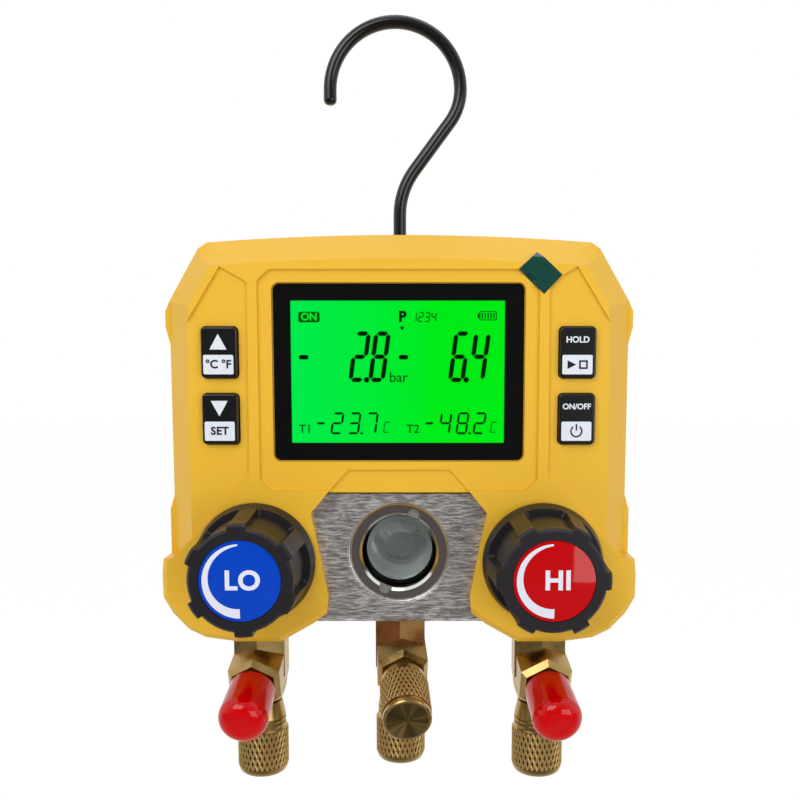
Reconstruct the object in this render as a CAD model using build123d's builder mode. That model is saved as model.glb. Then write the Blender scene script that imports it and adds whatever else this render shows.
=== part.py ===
from build123d import *
from math import cos, pi, radians, sin
import os

# Digital two-valve refrigerant manifold gauge, in millimetres.
# X is to the right, Z is up and the front faces -Y. The origin lies on the rear face of the
# housing, on the centre line, at the height of the two valve axes. Places in depth are given as
# the distance forward from that rear face, so a plane at depth d is Plane.XZ.offset(d).

# ---------------------------------------------------------------- driving dimensions: housing
rear_face = 0.0
parting = 24.0  # where the front and rear covers meet
shoulder = 38.0  # where the bevel round the front cover starts
face = 50.0  # front face of the housing
bevel_run = 9.0
wall = 2.5
face_wall = 3.5
recess_depth = 1.0
cover_gap = 0.15  # between a cover and what it closes round

half_width = 76.4
top_centre = 107.0
# corners of the top edge: in from the side, and down from the top
top_shoulder, top_corner, side_corner = (12.9, 2.4), (9.9, 4.4), (0.0, 21.5)
bump = 1.5  # how far the bumpers on the sides stand out
upper_bumper = (71.0, 77.0, 82.0)
lower_bumper, bumper_bottom = (15.5, 20.5), 0.6
upper_lap = 3.0  # how far the bevelled upper part runs down behind the lobes
lobe_stand = 2.0  # how far the lobes round the knobs stand out from the sides
lobe_bottom = -27.5
# corners of a lobe: in from its outer edge, and the height
lobe_outer_insets = [(0.0, -4.2), (0.1, -12.3), (3.2, -17.8), (8.4, -23.3), (13.9, -26.0),
                     (24.4, lobe_bottom), (39.0, lobe_bottom), (49.7, -21.4)]
lobe_inner_insets = [(54.4, -17.8), (55.0, -12.0), (49.5, 16.0)]
lobe_top_insets = [(28.9, 26.5), (3.9, 1.2)]
lobe_bevel = 1.8
window_top = 22.7  # upper edge of the cut-out round the manifold block
window_inset = 55.1

# ---------------------------------------------------------------- display and keys
lens_width, lens_height, lens_corner = 81.3, 57.3, 2.3
lens_centre = 61.8
lens_thickness = 2.0
lens_stand = 0.4  # the lens stands this far above the floor of its recess
lens_gap = 0.2
ledge = 2.6  # width of the step that the lens is glued to
lcd_inset_x, lcd_inset_z = 1.05, 0.85  # from the window in the step to the edge of the cell
lcd_thickness = 2.4
# the display recess: how far it reaches beyond the lens, and its cut corners
recess_side, recess_above, recess_below, recess_corner = 4.65, 4.25, 9.65, 3.7
step_recess = [(16.6, 30.3), (24.3, 21.8)]
step_recess_depth = 0.8
# corners of a key recess: in from the side, and the height
key_recess_insets = [(19.2, 95.6), (28.0, 90.6), (27.7, 28.7), (2.7, 1.2), (-13.6, 1.2),
                     (-13.6, 76.0), (7.8, 77.1)]

key_width, key_height, key_corner, key_round = 11.65, 16.3, 1.4, 0.6
key_inset = 18.8  # from the side to the middle of a key
key_rows = {"upper": 68.3, "lower": 46.9}
key_stand = 2.0
key_gap = 0.3
key_flange, key_flange_thickness = 1.1, 1.2
key_travel = 0.8
key_post_radius = 2.0
switch_size, switch_height = 6.0, 3.3
switch_slack = 0.1  # between a pressed key and its switch

board_width, board_thickness = 128.0, 1.6
board_bottom, board_top = 28.0, 91.0
board_front = 40.0
board_post_radius = 3.0
board_post_inset = 4.0
board_screw_radius, board_screw_length = 1.25, 6.0
board_screw_head_radius, board_screw_head = 2.4, 1.6

# ---------------------------------------------------------------- cover screws, battery bay
cover_screw_insets = [(18.4, 98.0), (6.0, 52.0), (7.9, -10.0)]  # in from the side, and the height
cover_post_radius = 3.6
cover_screw_radius, cover_screw_length = 1.5, 30.0
cover_screw_head_radius, cover_screw_head = 2.8, 2.2
cover_screw_sink = 6.0
screw_gap = 0.2

battery_radius, battery_length, battery_pitch = 7.25, 50.5, 14.9
battery_count = 4
bay_half_width = 27.6
bay_centre = 63.3
bay_floor = 17.6
bay_wall = 2.0
door_thickness = 2.0
door_lap = 3.0  # how far the door overlaps the bay on every side
door_gap = 0.25
door_corner = 3.0
door_screw_radius, door_screw_head_radius, door_screw_head = 1.5, 2.9, 1.0
door_screw_length = 9.0
door_screw_boss = 4.0
contact_thickness = 0.4
contact_width = 12.0

# ---------------------------------------------------------------- hook
wire_radius = 2.2
hook_depth = parting
hook_reach, hook_shank = 11.0, 8.5  # below and above the top edge
hook_angle = 37.0
hook_first_bend, hook_straight, hook_second_bend = 25.0, 20.0, 17.7
hook_eye_radius = 22.1
hook_tip, hook_round = 5.0, 1.7
hook_fit = 0.05
bushing_radius, bushing_flange_radius, bushing_flange = 4.4, 6.4, 2.6
bushing_sink = 0.2  # how far the top of the bushing lies below the top edge
retainer_radius, retainer_height = 4.4, 3.0
retainer_gap = 0.2

# ---------------------------------------------------------------- manifold block
block_inset = 16.4  # from the side of the housing to the end of the block
block_bottom, block_top = -21.5, 22.0
block_back, block_front = 16.0, 46.0
block_chamfer = 1.3
block_gap = 0.3
valve_inset = 29.4  # from the side of the housing to a valve's axis
gallery_depth, gallery_radius = 27.0, 3.0
plug_length = 6.0
chamber_radius, chamber_floor = 7.5, 31.0
seat_radius = 2.2
block_screw_places = [(30.0, 14.0), (30.0, -12.0)]
block_screw_radius, block_screw_reach = 2.0, 10.0
block_screw_head_radius, block_screw_head = 3.5, 3.0
block_post_radius = 5.5
block_screw_sink = 3.5

sight_height = 2.4
sight_ring_radius, sight_ring_bore = 16.3, 12.2
sight_ring_thickness, sight_ring_proud = 3.0, 0.3
sight_ring_gap, sight_ring_chamfer = 0.25, 0.5
sight_slot_width, sight_slot_reach, sight_slot_angle = 4.2, 3.2, 69.0
sight_flange_radius, sight_flange = 14.4, 2.3
sight_nose_radius, sight_nose = 11.95, 2.2
sight_cone_radius, sight_cone_tip, sight_cone = 9.5, 5.0, 7.0
oring_radius, oring_section = 12.4, 0.9
sight_steps = [(11.3, 33.0), (9.0, 28.5), (6.5, 22.0)]

# ---------------------------------------------------------------- valves and knobs
stem_radius, stem_fit = 3.0, 0.05
bonnet_thread = 5.0
bonnet_flats, bonnet_hex = 19.0, 3.4
bonnet_nose_radius, bonnet_nose = 6.5, 7.5
bonnet_hole_radius = 12.0
seal_radius, seal_thickness, seat_gap = 5.5, 2.5, 0.05
valve_lift = 2.5

knob_gap, knob_height = 0.8, 28.2
flange_radius, flange_edge, flange_height = 19.7, 1.6, 5.6
skirt_radius = 18.6  # where the skirt of the flange ends and the finger pockets begin
pocket_round = 1.3
grip_root_radius, grip_tip_radius = 16.6, 15.3
ring_radius, ring_height = 15.95, 5.6
rib_tip_radius, rib_width, rib_count = 17.4, 5.4, 6
rib_angles = {"low": 93.0, "high": 0.0}
knob_chamfer = 0.8
knob_hollow_radius, knob_crown = 13.6, 15.0
hub_radius, hub_gap = 6.5, 1.3
disc_radius, disc_seat, disc_dome, disc_gap = 12.35, 3.0, 1.1, 0.15
knob_screw_radius, knob_screw_head_radius, knob_screw_head = 2.0, 3.7, 2.2
knob_screw_sink = 4.0  # below the floor that the disc lies on
knob_web = 2.0
knob_screw_length, knob_screw_clear = 12.0, 1.0

# ---------------------------------------------------------------- sensors and fittings
sensor_depth = 33.0
sensor_thread_radius, sensor_thread = 5.0, 8.0
sensor_flats, sensor_hex = 12.0, 4.0
sensor_can_radius, sensor_can = 4.8, 11.0
sensor_port_radius = 1.5

port_offset = 0.7  # the outer ports lie this far outside the valve axes
outer_port_depth, center_port_depth = 38.0, 27.0
tee_flats = 17.2
tee_body_end, tee_round_start = 28.8, 21.3  # below the block
tee_waist_radius, tee_belly, tee_shoulder, tee_edge = 6.6, 0.5, 1.5, 0.9
tee_thread_radius, tee_thread = 5.5, 9.5
bore_radius = 2.5
flare_radius, flare_tip_radius, flare_cone = 5.55, 3.4, 2.6  # 1/4 inch SAE male flare
relief_radius, relief, flare_lead = 5.0, 1.6, 0.6
lower_flare = 18.6
branch_drop = 15.8  # below the block
branch_slope = 18.0  # degrees below the horizontal
branch_hex_end, branch_bevel, branch_bevel_run = 15.0, 1.5, 2.0
branch_end = 32.5
branch_turns = {"low": -2.5, "center": 4.5, "high": 5.0}  # degrees about the vertical

cap_gap = 0.3
gasket_thickness, gasket_gap = 1.3, 0.1
blank_cap_top = 29.4  # below the block
blank_cap_shoulder, blank_cap_collar = 5.4, 3.6
blank_cap_end = 54.9
blank_cap_radius, blank_cap_mouth_radius, blank_cap_round = 8.45, 6.8, 2.6
blank_cap_grooves = 2
groove_depth, groove_width = 0.5, 0.8
front_cap_start, front_cap_end, front_cap_radius, front_cap_chamfer = 17.4, 38.2, 8.0, 0.4
front_cap_collar, front_cap_rim, front_cap_rim_groove = 2.2, 1.8, 1.2
vinyl_start, vinyl_end = 16.6, 35.2
vinyl_mouth_radius, vinyl_tip_radius, vinyl_dome = 7.6, 8.0, 5.0

sides = {"low": -1, "high": 1}


# ---------------------------------------------------------------- helpers
def save(builder, node):
    """label a finished piece and write its STEP file"""
    builder.part.label = node
    export_step(builder.part, f"parts/{node}.step")


def mirrored(half):
    """a closed outline from the points of its right half, listed from top to bottom"""
    return half + [(-x, z) for x, z in reversed(half) if x > 0]


def flipped(points, side):
    """points on the right, moved to the given side"""
    return [(side * x, z) for x, z in points]


def inset(points, edge):
    """points given by how far they lie in from an edge on the right, and their height"""
    return [(edge - distance, z) for distance, z in points]


def arched(half):
    """a face from the points of its right half, listed from top to bottom, under an arched top"""
    points = mirrored(half)
    with BuildSketch() as outline:
        with BuildLine():
            ThreePointArc(points[-1], (0, top_centre), points[0])
            Polyline(*points)
        make_face()
    return outline.sketch


def lathe(base):
    """the plane through a base plane's normal: x is the radius and y runs along the normal"""
    return Plane(origin=base.origin, x_dir=base.x_dir, z_dir=-base.y_dir)


def spin(base):
    """the axis along a base plane's normal"""
    return Axis(base.origin, base.z_dir)


def hex_radius(flats):
    """from a hexagon's width across its flats to its corner radius"""
    return flats / 2 / cos(radians(30))


def both_sides(places):
    """places on the right, and their mirror images on the left"""
    return [(side * x, z) for x, z in places for side in (1, -1)]


# ---------------------------------------------------------------- outlines of the housing
lobe_half_width = half_width + lobe_stand
window_half_width = lobe_half_width - window_inset
lobe_outer = inset(lobe_outer_insets, lobe_half_width)
lobe_inner = inset(lobe_inner_insets, lobe_half_width)
lobe_top = inset(lobe_top_insets, lobe_half_width)
top_half = [(half_width - distance, top_centre - drop)
            for distance, drop in (top_shoulder, top_corner, side_corner)]
upper_outline = arched(top_half + [(half_width, -upper_lap)])
bumper_x = half_width + bump
bumper_foot = (bumper_x, bumper_bottom)
housing_half = [*top_half, (bumper_x, upper_bumper[2]), (bumper_x, upper_bumper[1]),
                (half_width, upper_bumper[0]), (half_width, lower_bumper[1]),
                (bumper_x, lower_bumper[0]), bumper_foot,
                *lobe_outer, (window_half_width, block_bottom + block_gap)]
housing_outline = arched(housing_half)
lobe_outline = lobe_top + [bumper_foot] + lobe_outer + lobe_inner
block_window = mirrored([(window_half_width, window_top), lobe_inner[2], lobe_inner[1],
                         (lobe_inner[1][0], lobe_bottom - wall)])
inner_face = face - face_wall
inner_shoulder = shoulder - wall / 2
recess_floor = face - recess_depth
lens_top, lens_bottom = lens_centre + lens_height / 2, lens_centre - lens_height / 2
lcd_width = lens_width - 2 * (ledge + lcd_inset_x)
lcd_height = lens_height - 2 * (ledge + lcd_inset_z)
recess_x = lens_width / 2 + recess_side
display_recess = [(recess_x - recess_corner, lens_top + recess_above),
                  (recess_x, lens_top + recess_above - recess_corner),
                  (recess_x, lens_bottom - recess_below + recess_corner),
                  (recess_x - recess_corner, lens_bottom - recess_below)]
key_recess = inset(key_recess_insets, half_width)
cover_posts = both_sides(inset(cover_screw_insets, half_width))
board_post_x = board_width / 2 - board_post_inset
board_posts = both_sides([(board_post_x, board_top - board_post_inset),
                          (board_post_x, board_bottom + board_post_inset)])
block_posts = both_sides(block_screw_places)
key_x = half_width - key_inset
valve_x = half_width - valve_inset
port_x = valve_x + port_offset
block_half_width = half_width - block_inset
hook_foot = top_centre - hook_reach
key_places = {f"{row}_{side}": (sign * key_x, height) for side, sign in (("left", -1), ("right", 1))
              for row, height in key_rows.items()}

valve_planes = {side: Plane(origin=(sign * valve_x, 0, 0), x_dir=(1, 0, 0), z_dir=(0, -1, 0))
                for side, sign in sides.items()}
port_places = {"low": (-port_x, outer_port_depth), "center": (0, center_port_depth),
               "high": (port_x, outer_port_depth)}
port_planes = {name: Plane(origin=(x, -depth, block_bottom), x_dir=(1, 0, 0), z_dir=(0, 0, -1))
               for name, (x, depth) in port_places.items()}


def branch_plane(name):
    """the plane square to a fitting's front branch, with its origin on the fitting's upright axis"""
    x, depth = port_places[name]
    turn, slope = radians(branch_turns[name]), radians(branch_slope)
    return Plane(origin=(x, -depth, block_bottom - branch_drop), x_dir=(cos(turn), sin(turn), 0),
                 z_dir=(sin(turn) * cos(slope), -cos(turn) * cos(slope), -sin(slope)))


branch_planes = {name: branch_plane(name) for name in port_places}

# ================================================================ front cover
# The hollow behind the front cover, with the screw posts left standing in it.
with BuildPart() as front_hollow:
    with BuildSketch(Plane.XZ.offset(parting)):
        add(housing_outline)
        offset(amount=-wall, kind=Kind.INTERSECTION)
    extrude(amount=inner_shoulder - parting)
    with BuildSketch(Plane.XZ.offset(inner_shoulder)):
        add(upper_outline)
        offset(amount=-wall, kind=Kind.INTERSECTION)
    with BuildSketch(Plane.XZ.offset(inner_face)):
        add(upper_outline)
        offset(amount=-bevel_run - wall, kind=Kind.INTERSECTION)
    loft(ruled=True)
    for side in (1, -1):
        with BuildSketch(Plane.XZ.offset(parting)):
            Polygon(*flipped(lobe_outline, side), align=None)
            offset(amount=-wall, kind=Kind.INTERSECTION)
        extrude(amount=inner_face - parting)
    with BuildSketch(Plane.XZ.offset(parting)):
        Polygon(*block_window, align=None)
        offset(amount=wall, kind=Kind.INTERSECTION)
    extrude(amount=face - parting, mode=Mode.SUBTRACT)
    with BuildSketch(Plane.XZ.offset(parting)):
        with Locations(*cover_posts):
            Circle(cover_post_radius)
    extrude(amount=face - parting, mode=Mode.SUBTRACT)
    with BuildSketch(Plane.XZ.offset(board_front)):
        with Locations(*board_posts):
            Circle(board_post_radius)
    extrude(amount=face - board_front, mode=Mode.SUBTRACT)

with BuildPart() as front_cover:
    with BuildSketch(Plane.XZ.offset(parting)):
        add(housing_outline)
    extrude(amount=shoulder - parting)
    with BuildSketch(Plane.XZ.offset(shoulder)):
        add(upper_outline)
    with BuildSketch(Plane.XZ.offset(face)):
        add(upper_outline)
        offset(amount=-bevel_run, kind=Kind.INTERSECTION)
    loft(ruled=True)
    for side in (1, -1):
        with BuildSketch(Plane.XZ.offset(parting)):
            Polygon(*flipped(lobe_outline, side), align=None)
        extrude(amount=face - parting)
    lobe_rim = (front_cover.edges().filter_by_position(Axis.Y, -face, -face)
                .filter_by_position(Axis.Z, lobe_bottom, 0.0)
                .filter_by(lambda edge: abs(edge.center().X) > lobe_inner[0][0] + lobe_bevel))
    chamfer(lobe_rim, length=lobe_bevel)
    # raised ribs are left between the display recess and the two key recesses
    with BuildSketch(Plane.XZ.offset(recess_floor)):
        Polygon(*mirrored(display_recess), align=None)
        for side in (1, -1):
            Polygon(*flipped(key_recess, side), align=None)
    extrude(amount=recess_depth, mode=Mode.SUBTRACT)
    with BuildSketch(Plane.XZ.offset(recess_floor - step_recess_depth)):
        Polygon(*mirrored(step_recess), align=None)
    extrude(amount=face - recess_floor + step_recess_depth, mode=Mode.SUBTRACT)
    with BuildSketch(Plane.XZ.offset(parting)):
        Polygon(*block_window, align=None)
    extrude(amount=face - parting, mode=Mode.SUBTRACT)
    add(front_hollow.part, mode=Mode.SUBTRACT)
    # seat of the display lens, and the window behind it
    lens_back = recess_floor + lens_stand - lens_thickness
    with BuildSketch(Plane.XZ.offset(lens_back)):
        with Locations((0, lens_centre)):
            RectangleRounded(lens_width + 2 * lens_gap, lens_height + 2 * lens_gap,
                             lens_corner + lens_gap)
    extrude(amount=face - lens_back, mode=Mode.SUBTRACT)
    with BuildSketch(Plane.XZ.offset(board_front)):
        with Locations((0, lens_centre)):
            RectangleRounded(lens_width - 2 * ledge, lens_height - 2 * ledge, lens_corner)
    extrude(amount=face - board_front, mode=Mode.SUBTRACT)
    with BuildSketch(Plane.XZ.offset(board_front)):
        with Locations(*key_places.values()):
            RectangleRounded(key_width + 2 * key_gap, key_height + 2 * key_gap, key_corner + key_gap)
    extrude(amount=face - board_front, mode=Mode.SUBTRACT)
    # room for the manifold block, the valve bonnets and the two outer fittings
    with BuildSketch(Plane.XZ.offset(parting)):
        with Locations((0, (block_bottom + block_top) / 2)):
            Rectangle(2 * (block_half_width + block_gap), block_top - block_bottom + 2 * block_gap)
    extrude(amount=block_front + block_gap - parting, mode=Mode.SUBTRACT)
    with BuildSketch(Plane.XZ.offset(parting)):
        with Locations(*both_sides([(valve_x, 0)])):
            Circle(bonnet_hole_radius)
    extrude(amount=face - parting, mode=Mode.SUBTRACT)
    with BuildSketch(Plane.XZ.offset(parting)):
        with Locations(*both_sides([(port_x, lobe_bottom)])):
            Rectangle(tee_flats + 4 * block_gap, 6 * wall)
    tee_slot_end = outer_port_depth + hex_radius(tee_flats) + block_gap
    extrude(amount=tee_slot_end - parting, mode=Mode.SUBTRACT)
    # pilot holes for the cover screws and the board screws
    with BuildSketch(Plane.XZ.offset(parting)):
        with Locations(*cover_posts):
            Circle(cover_screw_radius)
    extrude(amount=cover_screw_length + cover_screw_sink - parting, mode=Mode.SUBTRACT)
    with BuildSketch(Plane.XZ.offset(board_front)):
        with Locations(*board_posts):
            Circle(board_screw_radius)
    extrude(amount=board_screw_length - board_thickness, mode=Mode.SUBTRACT)
    # hole in the top edge for the hook's bushing
    with BuildSketch(Plane.XY.offset(top_centre - 2 * wall)):
        with Locations((0, -hook_depth)):
            Circle(bushing_radius + cover_gap)
    extrude(amount=3 * wall, mode=Mode.SUBTRACT)
save(front_cover, "front_cover")

# ================================================================ rear cover and its screws
bay_half_height = battery_count * battery_pitch / 2 + door_gap
door_half_width = bay_half_width + door_lap
door_half_height = bay_half_height + door_lap
door_screw_place = (0, bay_centre - bay_half_height - door_screw_boss)
door_tab = 2 * door_screw_boss

with BuildPart() as rear_hollow:
    with BuildSketch(Plane.XZ.offset(wall)):
        add(housing_outline)
        offset(amount=-wall, kind=Kind.INTERSECTION)
    extrude(amount=parting - wall)
    with BuildSketch(Plane.XZ.offset(wall)):
        with Locations(*cover_posts):
            Circle(cover_post_radius)
    extrude(amount=parting - wall, mode=Mode.SUBTRACT)
    with BuildSketch(Plane.XZ.offset(wall)):
        with Locations(*block_posts):
            Circle(block_post_radius)
    extrude(amount=block_back - wall, mode=Mode.SUBTRACT)
    with BuildSketch(Plane.XZ.offset(wall)):
        with Locations((0, bay_centre)):
            Rectangle(2 * (bay_half_width + bay_wall), 2 * (bay_half_height + bay_wall))
        with Locations(door_screw_place):
            Circle(door_screw_boss)
    extrude(amount=bay_floor + bay_wall - wall, mode=Mode.SUBTRACT)

with BuildPart() as rear_cover:
    with BuildSketch(Plane.XZ.offset(rear_face)):
        add(housing_outline)
    extrude(amount=parting)
    chamfer(rear_cover.faces().sort_by(Axis.Y)[-1].edges(), length=wall)
    add(rear_hollow.part, mode=Mode.SUBTRACT)
    # battery bay and the rebate that its door lies in
    with BuildSketch(Plane.XZ.offset(rear_face)):
        with Locations((0, bay_centre)):
            Rectangle(2 * bay_half_width, 2 * bay_half_height)
    extrude(amount=bay_floor, mode=Mode.SUBTRACT)
    with BuildSketch(Plane.XZ.offset(rear_face)):
        with Locations((0, bay_centre)):
            RectangleRounded(2 * (door_half_width + door_gap), 2 * (door_half_height + door_gap),
                             door_corner + door_gap)
        with Locations(door_screw_place):
            Circle(door_screw_boss + door_gap)
    extrude(amount=door_thickness, mode=Mode.SUBTRACT)
    with BuildSketch(Plane.XZ.offset(door_thickness)):
        with Locations(door_screw_place):
            Circle(door_screw_radius + cover_gap)
    extrude(amount=door_screw_length, mode=Mode.SUBTRACT)
    # cover screws: a sunk head at the back and a clearance hole to the parting line
    with BuildSketch(Plane.XZ.offset(rear_face)):
        with Locations(*cover_posts):
            Circle(cover_screw_head_radius + screw_gap)
    extrude(amount=cover_screw_sink, mode=Mode.SUBTRACT)
    with BuildSketch(Plane.XZ.offset(rear_face)):
        with Locations(*cover_posts):
            Circle(cover_screw_radius + screw_gap)
    extrude(amount=parting, mode=Mode.SUBTRACT)
    with BuildSketch(Plane.XZ.offset(rear_face)):
        with Locations(*block_posts):
            Circle(block_screw_head_radius + screw_gap)
    extrude(amount=block_screw_sink, mode=Mode.SUBTRACT)
    with BuildSketch(Plane.XZ.offset(rear_face)):
        with Locations(*block_posts):
            Circle(block_screw_radius + screw_gap)
    extrude(amount=parting, mode=Mode.SUBTRACT)
    # room for the block, the middle fitting and the hook's bushing
    with BuildSketch(Plane.XZ.offset(block_back)):
        with Locations((0, (block_bottom + block_top) / 2)):
            Rectangle(2 * (block_half_width + block_gap), block_top - block_bottom + 2 * block_gap)
    extrude(amount=parting - block_back, mode=Mode.SUBTRACT)
    with BuildSketch(Plane.XY.offset(top_centre - 2 * wall)):
        with Locations((0, -hook_depth)):
            Circle(bushing_radius + cover_gap)
    extrude(amount=3 * wall, mode=Mode.SUBTRACT)
save(rear_cover, "rear_cover")

with BuildPart() as cover_screws:
    with BuildSketch(Plane.XZ.offset(cover_screw_sink - cover_screw_head)):
        with Locations(*cover_posts):
            Circle(cover_screw_head_radius)
    extrude(amount=cover_screw_head)
    with BuildSketch(Plane.XZ.offset(cover_screw_sink)):
        with Locations(*cover_posts):
            Circle(cover_screw_radius)
    extrude(amount=cover_screw_length - cover_gap)
save(cover_screws, "cover_screws")

# ================================================================ battery door and batteries
with BuildPart() as battery_door:
    with BuildSketch(Plane.XZ.offset(rear_face)):
        with Locations((0, bay_centre)):
            RectangleRounded(2 * door_half_width, 2 * door_half_height, door_corner)
        with Locations(door_screw_place):
            Circle(door_screw_boss)
    extrude(amount=door_thickness - cover_gap)
    # the hole that the screw turns in, and the recess of its head
    with BuildSketch(Plane.XZ.offset(rear_face)):
        with Locations(door_screw_place):
            Circle(door_screw_radius + cover_gap)
    extrude(amount=door_thickness, mode=Mode.SUBTRACT)
    with BuildSketch(Plane.XZ.offset(rear_face)):
        with Locations(door_screw_place):
            Circle(door_screw_head_radius + cover_gap)
    extrude(amount=door_screw_head, mode=Mode.SUBTRACT)
save(battery_door, "battery_door")

with BuildPart() as battery_door_screw:
    with BuildSketch(Plane.XZ.offset(rear_face)):
        with Locations(door_screw_place):
            Circle(door_screw_head_radius)
    extrude(amount=door_screw_head)
    with BuildSketch(Plane.XZ.offset(door_screw_head)):
        with Locations(door_screw_place):
            Circle(door_screw_radius)
    extrude(amount=door_screw_length)
save(battery_door_screw, "battery_door_screw")

battery_depth = bay_floor - battery_radius - cover_gap
battery_heights = [bay_centre + (row - (battery_count - 1) / 2) * battery_pitch
                   for row in range(battery_count)]
with BuildPart() as batteries:
    for height in battery_heights:
        with BuildSketch(Plane.YZ.offset(-battery_length / 2)):
            with Locations((-battery_depth, height)):
                Circle(battery_radius)
        extrude(amount=battery_length)
save(batteries, "batteries")

contact_x = battery_length / 2 + cover_gap
with BuildPart() as battery_contacts:
    for side in (1, -1):
        for height in battery_heights:
            with BuildSketch(Plane.YZ.offset(side * contact_x)):
                with Locations((-battery_depth, height)):
                    Rectangle(contact_width, contact_width)
            extrude(amount=side * contact_thickness)
        with BuildSketch(Plane.YZ.offset(side * (contact_x + contact_thickness))):
            with Locations((-battery_depth, bay_centre)):
                Rectangle(contact_width, battery_pitch * battery_count - door_gap)
        extrude(amount=side * (bay_half_width - contact_x - contact_thickness - cover_gap))
save(battery_contacts, "battery_contacts")

# ================================================================ display, board and keys
with BuildPart() as display_lens:
    with BuildSketch(Plane.XZ.offset(lens_back)):
        with Locations((0, lens_centre)):
            RectangleRounded(lens_width, lens_height, lens_corner)
    extrude(amount=lens_thickness)
save(display_lens, "display_lens")

lcd_front = lens_back - lens_gap
with BuildPart() as lcd_panel:
    with BuildSketch(Plane.XZ.offset(lcd_front - lcd_thickness)):
        with Locations((0, lens_centre)):
            Rectangle(lcd_width, lcd_height)
    extrude(amount=lcd_thickness)
save(lcd_panel, "lcd_panel")

with BuildPart() as lcd_backlight:
    with BuildSketch(Plane.XZ.offset(board_front)):
        with Locations((0, lens_centre)):
            Rectangle(lcd_width, lcd_height)
    extrude(amount=lcd_front - lcd_thickness - board_front)
save(lcd_backlight, "lcd_backlight")

with BuildPart() as main_board:
    with BuildSketch(Plane.XZ.offset(board_front - board_thickness)):
        with Locations((0, (board_bottom + board_top) / 2)):
            Rectangle(board_width, board_top - board_bottom)
        with Locations(*board_posts):
            Circle(board_screw_radius + cover_gap, mode=Mode.SUBTRACT)
    extrude(amount=board_thickness)
save(main_board, "main_board")

with BuildPart() as board_screws:
    board_back = board_front - board_thickness
    with BuildSketch(Plane.XZ.offset(board_back - board_screw_head)):
        with Locations(*board_posts):
            Circle(board_screw_head_radius)
    extrude(amount=board_screw_head)
    with BuildSketch(Plane.XZ.offset(board_back)):
        with Locations(*board_posts):
            Circle(board_screw_radius)
    extrude(amount=board_screw_length)
save(board_screws, "board_screws")

with BuildPart() as key_switches:
    with BuildSketch(Plane.XZ.offset(board_front)):
        with Locations(*key_places.values()):
            Rectangle(switch_size, switch_size)
    extrude(amount=switch_height * 2 / 3)
    with BuildSketch(Plane.XZ.offset(board_front)):
        with Locations(*key_places.values()):
            Circle(key_post_radius)
    extrude(amount=switch_height)
save(key_switches, "key_switches")

key_seat = recess_floor - (face_wall - recess_depth)
key_post_end = board_front + switch_height + switch_slack + key_travel
for name, place in key_places.items():
    with BuildPart() as key:
        with BuildSketch(Plane.XZ.offset(key_seat)):
            with Locations(place):
                RectangleRounded(key_width, key_height, key_corner)
        extrude(amount=recess_floor + key_stand - key_seat)
        fillet(key.faces().sort_by(Axis.Y)[0].edges(), radius=key_round)
        with BuildSketch(Plane.XZ.offset(key_seat - key_flange_thickness)):
            with Locations(place):
                Rectangle(key_width + 2 * key_flange, key_height + 2 * key_flange)
        extrude(amount=key_flange_thickness)
        with BuildSketch(Plane.XZ.offset(key_post_end)):
            with Locations(place):
                Circle(key_post_radius)
        extrude(amount=key_seat - key_post_end)
    save(key, f"key_{name}")

# ================================================================ hook
hook_plane = Plane.XZ.offset(hook_depth)
with BuildPart() as hook:
    with BuildLine(hook_plane) as hook_path:
        shank = Line((0, hook_foot), (0, top_centre + hook_shank))
        first = JernArc(shank @ 1, shank % 1, hook_first_bend, -hook_angle)
        straight = Line(first @ 1, first @ 1 + (first % 1) * hook_straight)
        second = JernArc(straight @ 1, straight % 1, hook_second_bend, hook_angle)
        eye = JernArc(second @ 1, second % 1, hook_eye_radius, 180)
        tip = Line(eye @ 1, eye @ 1 + (eye % 1) * hook_tip)
    with BuildSketch(Plane.XY.offset(hook_foot)):
        with Locations((0, -hook_depth)):
            Circle(wire_radius)
    sweep(path=hook_path.wires()[0])
    tip_face = hook.faces().filter_by(GeomType.PLANE).sort_by(Axis.Z)[-1]
    fillet(tip_face.edges(), radius=hook_round)
save(hook, "hook")

bushing_base = top_centre - wall - bushing_flange - 2 * cover_gap
with BuildPart() as hook_bushing:
    with BuildSketch(Plane.XY.offset(bushing_base)):
        with Locations((0, -hook_depth)):
            Circle(bushing_flange_radius)
    extrude(amount=bushing_flange)
    with BuildSketch(Plane.XY.offset(bushing_base)):
        with Locations((0, -hook_depth)):
            Circle(bushing_radius)
    extrude(amount=top_centre - bushing_sink - bushing_base)
    with BuildSketch(Plane.XY.offset(hook_foot)):
        with Locations((0, -hook_depth)):
            Circle(wire_radius + hook_fit)
    extrude(amount=top_centre - hook_foot, mode=Mode.SUBTRACT)
save(hook_bushing, "hook_bushing")

retainer_top = bushing_base - retainer_gap
with BuildPart() as hook_retainer:
    with BuildSketch(Plane.XY.offset(retainer_top - retainer_height)):
        with Locations((0, -hook_depth)):
            Circle(retainer_radius)
            Circle(wire_radius, mode=Mode.SUBTRACT)
    extrude(amount=retainer_height)
save(hook_retainer, "hook_retainer")

# ================================================================ manifold block
ring_seat = block_front + sight_ring_proud - sight_ring_thickness
flange_seat = ring_seat - sight_flange
oring_seat = flange_seat - 2 * oring_section
seat_top = chamber_floor - gallery_depth

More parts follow.
